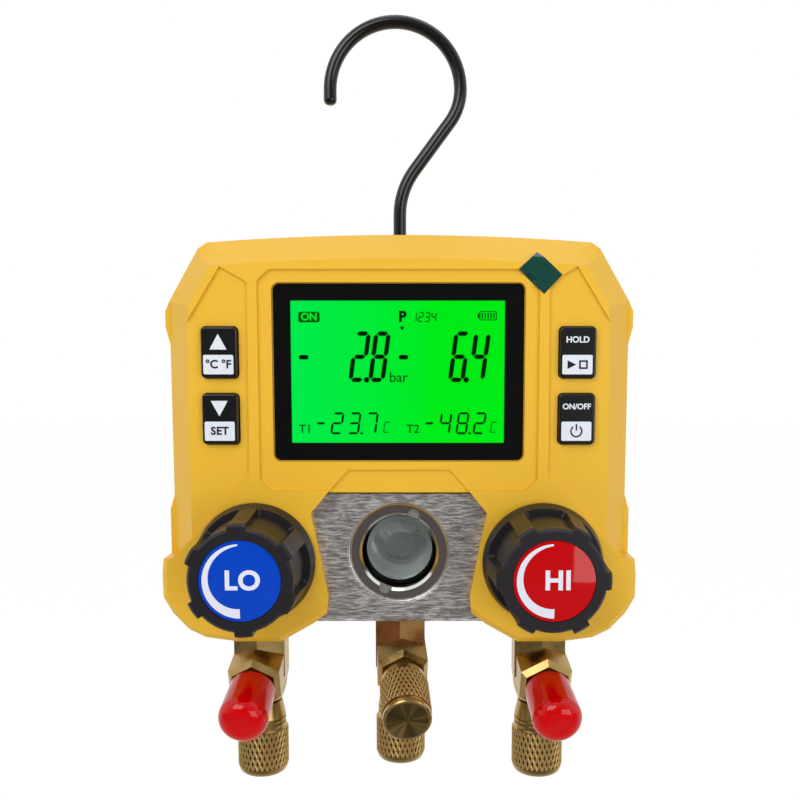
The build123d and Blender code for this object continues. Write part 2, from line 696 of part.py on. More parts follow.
with BuildPart() as manifold_block:
    with BuildSketch(Plane.XZ.offset(block_back)):
        with Locations((0, (block_bottom + block_top) / 2)):
            Rectangle(2 * block_half_width, block_top - block_bottom)
    extrude(amount=block_front - block_back)
    front_bottom_edge = manifold_block.faces().sort_by(Axis.Y)[0].edges().sort_by(Axis.Z)[0]
    chamfer(front_bottom_edge, length=block_chamfer)
    # valve chambers, with their seats opening into the gallery
    with BuildSketch(Plane.XZ.offset(chamber_floor)):
        with Locations(*both_sides([(valve_x, 0)])):
            Circle(chamber_radius)
    extrude(amount=block_front - chamber_floor, mode=Mode.SUBTRACT)
    with BuildSketch(Plane.XZ.offset(gallery_depth)):
        with Locations(*both_sides([(valve_x, 0)])):
            Circle(seat_radius)
    extrude(amount=seat_top, mode=Mode.SUBTRACT)
    with BuildSketch(Plane.YZ.offset(-valve_x - gallery_radius)):
        with Locations((-gallery_depth, 0)):
            Circle(gallery_radius)
    extrude(amount=valve_x + gallery_radius + block_half_width, mode=Mode.SUBTRACT)
    # stepped bore behind the sight glass
    bore_starts = [oring_seat] + [depth for radius, depth in sight_steps[:-1]]
    for (radius, floor), start in zip(sight_steps, bore_starts):
        with BuildSketch(Plane.XZ.offset(floor)):
            with Locations((0, sight_height)):
                Circle(radius)
        extrude(amount=start - floor, mode=Mode.SUBTRACT)
    with BuildSketch(Plane.XZ.offset(oring_seat)):
        with Locations((0, sight_height)):
            Circle(sight_flange_radius + cover_gap)
    extrude(amount=block_front - oring_seat, mode=Mode.SUBTRACT)
    with BuildSketch(Plane.XZ.offset(ring_seat)):
        with Locations((0, sight_height)):
            Circle(sight_ring_radius + sight_ring_gap)
    extrude(amount=block_front - ring_seat, mode=Mode.SUBTRACT)
    ring_mouth = (manifold_block.edges().filter_by(GeomType.CIRCLE)
                  .filter_by_position(Axis.Y, -block_front, -block_front)
                  .filter_by(lambda edge: edge.radius > sight_ring_radius))
    chamfer(ring_mouth, length=sight_ring_chamfer)
    # ports in the bottom face: the outer two reach the chambers, the middle one the gallery
    with BuildSketch(Plane.XY.offset(block_bottom)):
        with Locations(*[(x, -depth) for x, depth in port_places.values()]):
            Circle(tee_thread_radius)
    extrude(amount=tee_thread, mode=Mode.SUBTRACT)
    with BuildSketch(Plane.XY.offset(block_bottom)):
        with Locations(*[(x, -depth) for x, depth in port_places.values()]):
            Circle(bore_radius)
    extrude(amount=-block_bottom - gallery_radius / 2, mode=Mode.SUBTRACT)
    # sensor ports in the top face
    with BuildSketch(Plane.XY.offset(block_top - sensor_thread)):
        with Locations(*both_sides([(valve_x, -sensor_depth)])):
            Circle(sensor_thread_radius)
    extrude(amount=sensor_thread, mode=Mode.SUBTRACT)
    with BuildSketch(Plane.XY):
        with Locations(*both_sides([(valve_x, -sensor_depth)])):
            Circle(sensor_port_radius)
    extrude(amount=block_top, mode=Mode.SUBTRACT)
    # threaded holes in the back face
    with BuildSketch(Plane.XZ.offset(block_back)):
        with Locations(*block_posts):
            Circle(block_screw_radius)
    extrude(amount=block_screw_reach, mode=Mode.SUBTRACT)
save(manifold_block, "manifold_block")

with BuildPart() as manifold_screws:
    with BuildSketch(Plane.XZ.offset(block_screw_sink - block_screw_head)):
        with Locations(*block_posts):
            Circle(block_screw_head_radius)
    extrude(amount=block_screw_head)
    with BuildSketch(Plane.XZ.offset(block_screw_sink)):
        with Locations(*block_posts):
            Circle(block_screw_radius)
    extrude(amount=block_back + block_screw_reach - block_screw_sink - cover_gap)
save(manifold_screws, "manifold_screws")

with BuildPart() as gallery_plug:
    with BuildSketch(Plane.YZ.offset(block_half_width - plug_length)):
        with Locations((-gallery_depth, 0)):
            Circle(gallery_radius)
    extrude(amount=plug_length)
save(gallery_plug, "gallery_plug")

# ================================================================ sight glass
sight_plane = Plane(origin=(0, 0, sight_height), x_dir=(1, 0, 0), z_dir=(0, -1, 0))
with BuildPart() as sight_glass_lens:
    nose_end = ring_seat + sight_nose
    with BuildSketch(lathe(sight_plane)):
        Polygon((0, flange_seat - sight_cone), (sight_cone_tip, flange_seat - sight_cone),
                (sight_cone_radius, flange_seat), (sight_flange_radius, flange_seat),
                (sight_flange_radius, ring_seat), (sight_nose_radius, ring_seat),
                (sight_nose_radius, nose_end), (0, nose_end), align=None)
    revolve(axis=spin(sight_plane))
save(sight_glass_lens, "sight_glass_lens")

with BuildPart() as sight_glass_ring:
    with BuildSketch(sight_plane.offset(ring_seat)):
        Circle(sight_ring_radius)
        Circle(sight_ring_bore, mode=Mode.SUBTRACT)
    extrude(amount=sight_ring_thickness)
    with BuildSketch(sight_plane.offset(ring_seat + sight_ring_thickness / 3)):
        with PolarLocations(sight_ring_bore, 2, start_angle=sight_slot_angle):
            Rectangle(2 * sight_slot_reach, sight_slot_width)
    extrude(amount=sight_ring_thickness, mode=Mode.SUBTRACT)
    ring_lips = (sight_glass_ring.faces().sort_by(Axis.Y)[0].edges().filter_by(GeomType.CIRCLE)
                 .filter_by(lambda edge: edge.radius > sight_ring_bore + sight_slot_reach))
    chamfer(ring_lips, length=sight_ring_chamfer)
save(sight_glass_ring, "sight_glass_ring")

with BuildPart() as sight_glass_oring:
    with BuildSketch(lathe(sight_plane)):
        with Locations((oring_radius, oring_seat + oring_section)):
            Rectangle(2 * oring_section, 2 * oring_section)
    revolve(axis=spin(sight_plane))
save(sight_glass_oring, "sight_glass_oring")

# ================================================================ valves, knobs and sensors
bonnet_inner = block_front - bonnet_thread
bonnet_top = block_front + bonnet_hex + bonnet_nose
hub_end = bonnet_top + hub_gap
knob_back = face + knob_gap
knob_front = knob_back + knob_height
knob_hollow_top = knob_front - knob_crown
disc_floor = knob_front - disc_seat
knob_screw_seat = disc_floor - knob_screw_sink
flange_top = knob_back + flange_height
ring_bottom = knob_front - ring_height
seal_bottom = chamber_floor + seat_gap
stem_bottom = seal_bottom + seal_thickness
stem_top = knob_screw_seat - knob_web

for side, sign in sides.items():
    valve = valve_planes[side]

    with BuildPart() as bonnet:
        with BuildSketch(valve.offset(bonnet_inner)):
            Circle(chamber_radius - cover_gap / 5)
        extrude(amount=bonnet_thread)
        with BuildSketch(valve.offset(block_front)):
            RegularPolygon(hex_radius(bonnet_flats), 6)
        extrude(amount=bonnet_hex)
        with BuildSketch(valve.offset(block_front + bonnet_hex)):
            Circle(bonnet_nose_radius)
        extrude(amount=bonnet_nose)
        with BuildSketch(valve.offset(bonnet_inner)):
            Circle(stem_radius + stem_fit)
        extrude(amount=bonnet_top - bonnet_inner, mode=Mode.SUBTRACT)
    save(bonnet, f"{side}_valve_bonnet")

    with BuildPart() as seal:
        with BuildSketch(valve.offset(seal_bottom)):
            Circle(seal_radius)
        extrude(amount=seal_thickness)
    save(seal, f"{side}_valve_seal")

    with BuildPart() as stem:
        with BuildSketch(valve.offset(stem_bottom)):
            Circle(stem_radius)
        extrude(amount=stem_top - stem_bottom)
        with BuildSketch(valve.offset(knob_screw_seat - knob_screw_length)):
            Circle(knob_screw_radius)
        extrude(amount=knob_screw_length, mode=Mode.SUBTRACT)
    save(stem, f"{side}_valve_stem")

    # The finger pockets: a waisted groove all round, parted by six ribs.
    with BuildPart() as pockets:
        with BuildSketch(lathe(valve)):
            Polygon((grip_root_radius, flange_top), (grip_tip_radius, ring_bottom),
                    (ring_radius, ring_bottom + knob_chamfer), (ring_radius, knob_front - knob_chamfer),
                    (ring_radius - knob_chamfer, knob_front), (flange_radius, knob_front),
                    (flange_radius, flange_top), align=None)
        revolve(axis=spin(valve))
        with BuildSketch(valve.offset(flange_top)):
            with PolarLocations(0, rib_count, start_angle=rib_angles[side]):
                Rectangle(flange_radius, rib_width, align=(Align.MIN, Align.CENTER))
        extrude(amount=knob_front - flange_top, mode=Mode.SUBTRACT)
        pocket_corners = (pockets.edges().filter_by(GeomType.LINE)
                          .filter_by_position(Axis.Y, -flange_top, -flange_top))
        fillet(pocket_corners, radius=pocket_round)

    # The knob: a skirted flange, a tapered grip, and a ring with six lobes round the disc.
    with BuildPart() as knob:
        with BuildSketch(lathe(valve)):
            Polygon((0, knob_back), (flange_radius - knob_chamfer, knob_back),
                    (flange_radius, knob_back + knob_chamfer),
                    (flange_radius, knob_back + flange_edge), (skirt_radius, flange_top),
                    (rib_tip_radius, ring_bottom), (rib_tip_radius, knob_front - knob_chamfer),
                    (rib_tip_radius - knob_chamfer, knob_front), (0, knob_front), align=None)
        revolve(axis=spin(valve))
        add(pockets.part, mode=Mode.SUBTRACT)
        with BuildSketch(valve.offset(knob_back)):
            Circle(knob_hollow_radius)
        extrude(amount=knob_hollow_top - knob_back, mode=Mode.SUBTRACT)
        with BuildSketch(valve.offset(hub_end)):
            Circle(hub_radius)
        extrude(amount=knob_hollow_top - hub_end)
        with BuildSketch(valve.offset(hub_end)):
            Circle(stem_radius)
        extrude(amount=stem_top - hub_end, mode=Mode.SUBTRACT)
        with BuildSketch(valve.offset(stem_top)):
            Circle(knob_screw_radius + screw_gap)
        extrude(amount=knob_web, mode=Mode.SUBTRACT)
        with BuildSketch(valve.offset(knob_screw_seat)):
            Circle(knob_screw_head_radius + screw_gap)
        extrude(amount=disc_floor - knob_screw_seat, mode=Mode.SUBTRACT)
        with BuildSketch(valve.offset(disc_floor)):
            Circle(disc_radius + disc_gap)
        extrude(amount=knob_front - disc_floor, mode=Mode.SUBTRACT)
    save(knob, f"{side}_knob")

    with BuildPart() as knob_disc:
        disc_edge = knob_front - 2 * disc_gap
        crown_radius = (disc_radius**2 + disc_dome**2) / (2 * disc_dome)
        with BuildSketch(valve.offset(disc_floor)):
            Circle(disc_radius)
        extrude(amount=disc_edge + disc_dome - disc_floor)
        with Locations(valve.offset(disc_edge + disc_dome - crown_radius)):
            Sphere(crown_radius, mode=Mode.INTERSECT)
    save(knob_disc, f"{side}_knob_disc")

    with BuildPart() as knob_screw:
        with BuildSketch(valve.offset(knob_screw_seat)):
            Circle(knob_screw_head_radius)
        extrude(amount=knob_screw_head)
        with BuildSketch(valve.offset(knob_screw_seat - knob_screw_length + knob_screw_clear)):
            Circle(knob_screw_radius)
        extrude(amount=knob_screw_length - knob_screw_clear)
    save(knob_screw, f"{side}_knob_screw")

    with BuildPart() as sensor:
        sensor_base = Plane(origin=(sign * valve_x, -sensor_depth, block_top), z_dir=(0, 0, 1))
        with BuildSketch(sensor_base.offset(-sensor_thread + cover_gap)):
            Circle(sensor_thread_radius)
        extrude(amount=sensor_thread - cover_gap)
        with BuildSketch(sensor_base):
            RegularPolygon(hex_radius(sensor_flats), 6)
        extrude(amount=sensor_hex)
        with BuildSketch(sensor_base.offset(sensor_hex)):
            Circle(sensor_can_radius)
        extrude(amount=sensor_can)
    save(sensor, f"{side}_pressure_sensor")

# ================================================================ fittings and their caps
lower_start = tee_body_end + relief
lower_end = tee_body_end + lower_flare
cap_bore = flare_radius + cap_gap
lower_gasket = lower_end + gasket_gap
branch_start = branch_hex_end + relief
branch_gasket = branch_end + gasket_gap
blank_cap_floor = lower_gasket + gasket_thickness
front_cap_floor = branch_gasket + gasket_thickness

for name in port_places:
    down = port_planes[name]
    branch = branch_planes[name]

    # Two crossing hexagon bars, the upright one rounded off below, each ending in a male flare.
    with BuildPart() as tee:
        with BuildSketch(down):
            RegularPolygon(hex_radius(tee_flats), 6, rotation=30)
        extrude(amount=tee_body_end)
        with BuildSketch(lathe(down)):
            with BuildLine():
                outer = hex_radius(tee_flats)
                belly = ThreePointArc((tee_flats / 2, tee_round_start),
                                      (tee_flats / 2 - tee_belly, (tee_round_start + tee_body_end) / 2),
                                      (tee_waist_radius, tee_body_end))
                Polyline(belly @ 1, (0, tee_body_end), (0, 0), (outer - tee_edge, 0), (outer, tee_edge),
                         (outer, tee_round_start - tee_shoulder), belly @ 0)
            make_face()
        revolve(axis=spin(down), mode=Mode.INTERSECT)
        with BuildSketch(branch):
            RegularPolygon(hex_radius(tee_flats), 6, rotation=30)
        extrude(amount=branch_hex_end - branch_bevel_run)
        with BuildSketch(branch.offset(branch_hex_end - branch_bevel_run)):
            RegularPolygon(hex_radius(tee_flats), 6, rotation=30)
        with BuildSketch(branch.offset(branch_hex_end)):
            RegularPolygon(hex_radius(tee_flats - 2 * branch_bevel), 6, rotation=30)
        loft(ruled=True)
        for base, start, end in ((down, tee_body_end, lower_end), (branch, branch_hex_end, branch_end)):
            with BuildSketch(lathe(base)):
                Polygon((0, start), (relief_radius, start), (relief_radius, start + relief),
                        (flare_radius, start + relief + flare_lead), (flare_radius, end - flare_cone),
                        (flare_tip_radius, end), (0, end), align=None)
            revolve(axis=spin(base))
        with BuildSketch(down.offset(-tee_thread + cover_gap)):
            Circle(tee_thread_radius)
        extrude(amount=tee_thread - cover_gap)
        with BuildSketch(down.offset(-tee_thread + cover_gap)):
            Circle(bore_radius)
        extrude(amount=tee_thread - cover_gap + lower_end, mode=Mode.SUBTRACT)
        with BuildSketch(branch):
            Circle(bore_radius)
        extrude(amount=branch_end, mode=Mode.SUBTRACT)
    save(tee, f"{name}_tee")

    # Blank cap on the lower flare, with the gasket that it presses on the flare's end.
    with BuildPart() as blank_cap:
        collar_start = blank_cap_top + blank_cap_shoulder
        collar_end = collar_start + blank_cap_collar
        with BuildSketch(lathe(down)):
            Polygon((cap_bore, blank_cap_top), (blank_cap_mouth_radius, blank_cap_top),
                    (blank_cap_radius - groove_depth, collar_start),
                    (blank_cap_radius - groove_depth, collar_end),
                    (blank_cap_radius, collar_end + groove_depth), (blank_cap_radius, blank_cap_end),
                    (0, blank_cap_end), (0, blank_cap_floor), (cap_bore, blank_cap_floor), align=None)
        revolve(axis=spin(down))
        for groove in range(blank_cap_grooves):
            with BuildSketch(down.offset(collar_start + groove * 2 * groove_width)):
                Circle(blank_cap_radius)
                Circle(blank_cap_radius - 2 * groove_depth, mode=Mode.SUBTRACT)
            extrude(amount=groove_width, mode=Mode.SUBTRACT)
        fillet(blank_cap.edges().filter_by(GeomType.CIRCLE).sort_by(Axis.Z)[0], radius=blank_cap_round)
    save(blank_cap, f"{name}_blank_cap")

    with BuildPart() as cap_gasket:
        with BuildSketch(down.offset(lower_gasket)):
            Circle(cap_bore - gasket_gap)
        extrude(amount=gasket_thickness)
    save(cap_gasket, f"{name}_cap_gasket")

    # What closes the front branch: a brass cap in the middle, pull-off vinyl caps at the sides.
    if name == "center":
        with BuildPart() as front_cap:
            rim_start = front_cap_end - front_cap_rim
            groove_top = rim_start - front_cap_rim_groove
            with BuildSketch(lathe(branch)):
                Polygon((cap_bore, front_cap_start), (front_cap_radius - groove_depth, front_cap_start),
                        (front_cap_radius - groove_depth, front_cap_start + front_cap_collar),
                        (front_cap_radius, front_cap_start + front_cap_collar + groove_depth),
                        (front_cap_radius, groove_top), (front_cap_radius - groove_depth, groove_top),
                        (front_cap_radius - groove_depth, rim_start), (front_cap_radius, rim_start),
                        (front_cap_radius, front_cap_end - front_cap_chamfer),
                        (front_cap_radius - front_cap_chamfer, front_cap_end),
                        (0, front_cap_end), (0, front_cap_floor), (cap_bore, front_cap_floor),
                        align=None)
            revolve(axis=spin(branch))
        save(front_cap, "center_front_cap")

        with BuildPart() as front_gasket:
            with BuildSketch(branch.offset(branch_gasket)):
                Circle(cap_bore - gasket_gap)
            extrude(amount=gasket_thickness)
        save(front_gasket, "center_front_gasket")
    else:
        with BuildPart() as vinyl_cap:
            with BuildSketch(lathe(branch)):
                with BuildLine():
                    dome = JernArc((vinyl_tip_radius, vinyl_end - vinyl_dome), (0, 1), vinyl_dome, 90)
                    Polyline(dome @ 1, (0, vinyl_end), (0, branch_end + cap_gap),
                             (cap_bore, branch_end + cap_gap), (cap_bore, vinyl_start),
                             (vinyl_mouth_radius, vinyl_start), dome @ 0)
                make_face()
            revolve(axis=spin(branch))
        save(vinyl_cap, f"{name}_vinyl_cap")
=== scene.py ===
"""Looks of a digital two-valve refrigerant manifold gauge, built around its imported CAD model.

Lengths are in millimetres, except in the stage's section and where a comment says metres.
A depth is how far a point lies in front of the housing's rear face, towards -Y.
"""

import math

import bmesh
import bpy
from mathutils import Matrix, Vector
from mathutils.bvhtree import BVHTree


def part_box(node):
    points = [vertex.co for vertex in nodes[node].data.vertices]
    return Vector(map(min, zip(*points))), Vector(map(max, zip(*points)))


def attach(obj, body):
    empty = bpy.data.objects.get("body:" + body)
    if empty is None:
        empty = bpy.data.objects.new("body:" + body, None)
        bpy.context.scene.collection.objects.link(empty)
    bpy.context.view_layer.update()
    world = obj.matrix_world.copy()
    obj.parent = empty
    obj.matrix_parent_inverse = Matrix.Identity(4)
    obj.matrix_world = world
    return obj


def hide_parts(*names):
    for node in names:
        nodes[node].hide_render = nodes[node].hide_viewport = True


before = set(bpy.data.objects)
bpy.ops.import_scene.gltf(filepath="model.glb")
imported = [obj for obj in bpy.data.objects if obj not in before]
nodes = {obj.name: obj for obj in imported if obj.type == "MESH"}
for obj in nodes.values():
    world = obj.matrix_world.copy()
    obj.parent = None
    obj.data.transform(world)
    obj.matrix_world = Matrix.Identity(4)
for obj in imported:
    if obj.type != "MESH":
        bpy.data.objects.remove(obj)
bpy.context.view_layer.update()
scene = bpy.context.scene
MM = 0.001


# ---------------------------------------------------------------- colours
def linear(red, green, blue):
    """an sRGB colour, 0 to 255, as a linear RGBA"""

    def channel(value):
        value /= 255
        return value / 12.92 if value <= 0.04045 else ((value + 0.055) / 1.055) ** 2.4

    return (channel(red), channel(green), channel(blue), 1.0)


def shaded(colour, factor):
    """a linear colour made darker or lighter"""
    return tuple(channel * factor for channel in colour[:3]) + (1.0,)


# ---------------------------------------------------------------- shader nodes
SOCKETS = {"specular": "Specular IOR Level", "transmission": "Transmission Weight", "ior": "IOR",
           "glow": "Emission Strength", "alpha": "Alpha"}
ROUGHNESS_STOPS = (0.3, 0.7)


def shader_of(target):
    """a material's Principled node"""
    return target.node_tree.nodes["Principled BSDF"]


def material(name, colour, roughness, metallic=0.0, **sockets):
    """a Principled material; sockets are further constants, such as specular=0.5"""
    result = bpy.data.materials.new(name)
    result.use_nodes = True
    shader = shader_of(result)
    shader.inputs["Base Color"].default_value = colour
    shader.inputs["Roughness"].default_value = roughness
    shader.inputs["Metallic"].default_value = metallic
    for socket, value in sockets.items():
        shader.inputs[SOCKETS[socket]].default_value = value
    return result


def computed(tree, operation, first, second):
    """a maths node; each input is a number or another node's output"""
    result = tree.nodes.new("ShaderNodeMath")
    result.operation = operation
    for socket, value in zip(result.inputs, (first, second)):
        if isinstance(value, (int, float)):
            socket.default_value = value
        else:
            tree.links.new(value, socket)
    return result.outputs[0]


def faded(tree, value, start, end, low, high):
    """a value between start and end, mapped to between low and high"""
    result = tree.nodes.new("ShaderNodeMapRange")
    for socket, number in zip(("From Min", "From Max", "To Min", "To Max"), (start, end, low, high)):
        result.inputs[socket].default_value = number
    tree.links.new(value, result.inputs["Value"])
    return result.outputs["Result"]


def along(tree, node, socket, axis):
    """one axis of a point, in metres, or of a direction"""
    source = tree.nodes.new(node)
    axes = tree.nodes.new("ShaderNodeSeparateXYZ")
    tree.links.new(source.outputs[socket], axes.inputs[0])
    return axes.outputs[axis]


def noise(tree, vector, scale, detail, roughness=0.5):
    """a noise texture over a vector"""
    result = tree.nodes.new("ShaderNodeTexNoise")
    result.inputs["Scale"].default_value = scale
    result.inputs["Detail"].default_value = detail
    result.inputs["Roughness"].default_value = roughness
    tree.links.new(vector, result.inputs["Vector"])
    return result.outputs["Fac"]


def object_noise(target, scale, stretch=(1, 1, 1), detail=4.0, roughness=0.55):
    """noise that is fixed to the object; scale is in waves per metre"""
    tree = target.node_tree
    place = tree.nodes.new("ShaderNodeTexCoord")
    mapping = tree.nodes.new("ShaderNodeMapping")
    mapping.inputs["Scale"].default_value = stretch
    tree.links.new(place.outputs["Object"], mapping.inputs["Vector"])
    return noise(tree, mapping.outputs["Vector"], scale, detail, roughness)


def ramp(target, value, stops):
    """a colour ramp over a value; stops are (position, RGBA or grey)"""
    tree = target.node_tree
    result = tree.nodes.new("ShaderNodeValToRGB")
    elements = result.color_ramp.elements
    while len(elements) < len(stops):
        elements.new(0.5)
    for element, (position, colour) in zip(elements, stops):
        element.position = position
        element.color = colour if isinstance(colour, tuple) else (colour, colour, colour, 1)
    tree.links.new(value, result.inputs["Fac"])
    return result.outputs["Color"]


def vary_colour(target, value, stops, socket="Base Color"):
    """drives a material's colour by a ramp over a value"""
    target.node_tree.links.new(ramp(target, value, stops), shader_of(target).inputs[socket])


def vary_roughness(target, value, low, high):
    """drives a material's roughness between two values"""
    stops = list(zip(ROUGHNESS_STOPS, (low, high)))
    target.node_tree.links.new(ramp(target, value, stops), shader_of(target).inputs["Roughness"])


def bumps(target, value, height, strength=1.0):
    """unevenness too fine for geometry; height is in millimetres"""
    tree = target.node_tree
    bump = tree.nodes.new("ShaderNodeBump")
    bump.inputs["Distance"].default_value = height * MM
    bump.inputs["Strength"].default_value = strength
    tree.links.new(value, bump.inputs["Height"])
    tree.links.new(bump.outputs["Normal"], shader_of(target).inputs["Normal"])


# ---------------------------------------------------------------- plastics and rubbers
YELLOW = linear(238, 186, 46)
housing_plastic = material("housing_plastic", YELLOW, roughness=0.42, specular=0.35)
bumps(housing_plastic, object_noise(housing_plastic, 2600, detail=2.0), height=0.03, strength=0.5)
vary_roughness(housing_plastic, object_noise(housing_plastic, 60), low=0.36, high=0.46)

knob_plastic = material("knob_plastic", linear(33, 30, 34), roughness=0.4, specular=0.35)
bumps(knob_plastic, object_noise(knob_plastic, 2200, detail=3.0), height=0.04, strength=0.6)
black_plastic = material("black_plastic", linear(20, 19, 21), roughness=0.5, specular=0.3)
key_plastic = material("key_plastic", linear(16, 16, 19), roughness=0.25, specular=0.5)
disc_blue = material("disc_blue", linear(0, 66, 190), roughness=0.06, specular=0.4)
disc_red = material("disc_red", linear(190, 2, 8), roughness=0.06, specular=0.4)
diffuser_white = material("diffuser_white", linear(225, 230, 225), roughness=0.5)
board_green = material("board_green", linear(18, 84, 44), roughness=0.4)
rubber_black = material("rubber_black", linear(14, 14, 14), roughness=0.6, specular=0.3)
vinyl_red = material("vinyl_red", linear(204, 0, 4), roughness=0.07, specular=0.35)
bumps(vinyl_red, object_noise(vinyl_red, 160, detail=1.0), height=0.25, strength=0.35)

# ---------------------------------------------------------------- prints
white_print = material("white_print", linear(226, 232, 240), roughness=0.45)
dark_print = material("dark_print", linear(24, 28, 40), roughness=0.5, specular=0.2)
disc_white = material("disc_white", linear(226, 228, 240), roughness=0.3)
sticker_green = material("sticker_green", linear(0, 66, 56), roughness=0.25, specular=0.5)
battery_print = material("battery_print", linear(40, 42, 46), roughness=0.35)

# ---------------------------------------------------------------- glass and the lit display
lens_clear = material("lens_clear", (0, 0, 0, 1), roughness=0.03, alpha=0.1)
lens_border = material("lens_border", linear(14, 14, 15), roughness=0.3, specular=0.1)
sight_clear = material("sight_clear", (0.98, 0.99, 0.985, 1), roughness=0.0, transmission=1.0, ior=1.12)
lcd_ink = material("lcd_ink", linear(0, 34, 6), roughness=0.9, specular=0.0)
lcd_faint = material("lcd_faint", linear(0, 96, 18), roughness=0.9, specular=0.0)

# the backlight is bluer towards the left; LCD_FADE is in metres
LCD_GREEN, LCD_EDGE_GREEN = linear(0, 255, 22), linear(0, 255, 84)
LCD_FADE = (-0.035, 0.012)
lcd_lit = material("lcd_lit", shaded(LCD_GREEN, 0.02), roughness=0.9, specular=0.0, glow=1.0)
lcd_across = along(lcd_lit.node_tree, "ShaderNodeTexCoord", "Object", "X")
vary_colour(lcd_lit, faded(lcd_lit.node_tree, lcd_across, *LCD_FADE, 0.0, 1.0),
            [(0.0, LCD_EDGE_GREEN), (1.0, LCD_GREEN)], socket="Emission Color")

# ---------------------------------------------------------------- metals
hook_coat = material("hook_coat", linear(10, 10, 11), roughness=0.2, specular=0.5)
zinc = material("zinc", linear(186, 186, 184), roughness=0.35, metallic=1.0)
chrome = material("chrome", linear(188, 172, 168), roughness=0.08, metallic=1.0)
frosted = material("frosted", linear(176, 172, 168), roughness=0.3, metallic=0.6)
bumps(frosted, object_noise(frosted, 900), height=0.2)
bright_edge = material("bright_edge", linear(236, 236, 230), roughness=0.3, metallic=0.7)
# a pale, mostly diffuse metal for the bore's lining: painted light, so the deep bore doesn't go dark
nickel_painted_light = material("nickel_painted_light", linear(212, 220, 215), roughness=0.16, metallic=0.35)
polished = material("polished", linear(238, 238, 234), roughness=0.14, metallic=1.0)

BRASS = linear(190, 158, 98)
brass = material("brass", BRASS, roughness=0.3, metallic=1.0)
brass_marks = object_noise(brass, 130, detail=6.0, roughness=0.65)
vary_colour(brass, brass_marks, [(0.3, shaded(BRASS, 0.72)), (0.62, BRASS)])
vary_roughness(brass, brass_marks, low=0.22, high=0.38)
# lit and shaded copies of the brass for the knurling: painted light on the ridges, painted shade in the
# pits
brass_knurl_painted_light = material("brass_knurl_painted_light", shaded(BRASS, 1.15), roughness=0.45, metallic=0.85)
brass_pit_painted_shade = material("brass_pit_painted_shade", shaded(BRASS, 0.16), roughness=0.5, metallic=0.85)
brass_turned = material("brass_turned", shaded(BRASS, 0.92), roughness=0.26, metallic=1.0)

# a turned face: dark and light streaks that run from the origin of the piece, painted reflections
# standing in for a turned face's streaked highlights
brass_face_painted_reflections = material("brass_face_painted_reflections", BRASS, roughness=0.34, metallic=1.0)
face_tree = brass_face_painted_reflections.node_tree
face_place = face_tree.nodes.new("ShaderNodeTexCoord")
face_way = face_tree.nodes.new("ShaderNodeVectorMath")
face_way.operation = "NORMALIZE"
face_tree.links.new(face_place.outputs["Object"], face_way.inputs[0])
vary_colour(brass_face_painted_reflections, noise(face_tree, face_way.outputs[0], 1.1, detail=5.0),
            [(0.36, shaded(BRASS, 0.2)), (0.52, shaded(BRASS, 0.34)), (0.66, shaded(BRASS, 0.9))])

# streaks along X, made by stretching the noise
PLATE = linear(204, 199, 198)
brushed_plate = material("brushed_plate", PLATE, roughness=0.34, metallic=0.75)
brush = object_noise(brushed_plate, 1900, stretch=(0.14, 1, 1.25), detail=4.0, roughness=0.7)
vary_colour(brushed_plate, brush, [(0.38, shaded(PLATE, 0.34)), (0.5, shaded(PLATE, 0.86)),
                                   (0.6, shaded(PLATE, 1.6))])
vary_roughness(brushed_plate, brush, low=0.5, high=0.3)
bumps(brushed_plate, brush, height=0.05, strength=0.7)

# ---------------------------------------------------------------- the CAD nodes' materials
finishes = {
    housing_plastic: ["front_cover", "rear_cover", "battery_door"],
    knob_plastic: ["low_knob", "high_knob"],
    black_plastic: ["key_switches", "hook_bushing"],
    key_plastic: ["key_upper_left", "key_lower_left", "key_upper_right", "key_lower_right"],
    disc_blue: ["low_knob_disc"],
    disc_red: ["high_knob_disc"],
    lens_clear: ["display_lens"],
    lcd_lit: ["lcd_panel"],
    diffuser_white: ["lcd_backlight"],
    board_green: ["main_board"],
    battery_print: ["batteries"],
    hook_coat: ["hook"],
    zinc: ["cover_screws", "battery_door_screw", "battery_contacts", "board_screws", "hook_retainer",
           "manifold_screws", "low_valve_stem", "high_valve_stem", "low_knob_screw",
           "high_knob_screw", "low_pressure_sensor", "high_pressure_sensor"],
    sight_clear: ["sight_glass_lens"],
    rubber_black: ["sight_glass_oring", "low_valve_seal", "high_valve_seal", "low_cap_gasket",
                   "center_cap_gasket", "high_cap_gasket", "center_front_gasket"],
    brushed_plate: ["manifold_block"],
    vinyl_red: ["low_vinyl_cap", "high_vinyl_cap"],
    brass: ["gallery_plug", "low_valve_bonnet", "high_valve_bonnet", "low_tee", "center_tee",
            "high_tee", "low_blank_cap", "center_blank_cap", "high_blank_cap"],
    brass_turned: ["center_front_cap"],
}
for finish, names in finishes.items():
    for name in names:
        slots = nodes[name].data.materials
        slots.clear()
        slots.append(finish)


# ---------------------------------------------------------------- outlines, as lists of (x, z)
def circle(x, z, radius, steps=48, start=0.0, sweep=360.0):
    """a circle, or an arc when the sweep is less than a full turn"""
    count = steps if sweep == 360 else steps + 1
    return [(x + radius * math.cos(math.radians(start + sweep * i / steps)),
             z + radius * math.sin(math.radians(start + sweep * i / steps))) for i in range(count)]


def rounded_box(x, z, width, height, radius, steps=6):
    """a rounded rectangle about a centre"""
    points = []
    for side_x, side_z, start in ((1, 1, 0), (-1, 1, 90), (-1, -1, 180), (1, -1, 270)):
        centre_x = x + side_x * (width / 2 - radius)
        centre_z = z + side_z * (height / 2 - radius)
        points += circle(centre_x, centre_z, radius, steps, start, 90)
    return points


def triangle(x, z, half, rise):
    """a triangle that points up, or down with a negative rise"""
    points = [(x - half, z - rise / 2), (x + half, z - rise / 2), (x, z + rise / 2)]
    return points if rise > 0 else points[::-1]


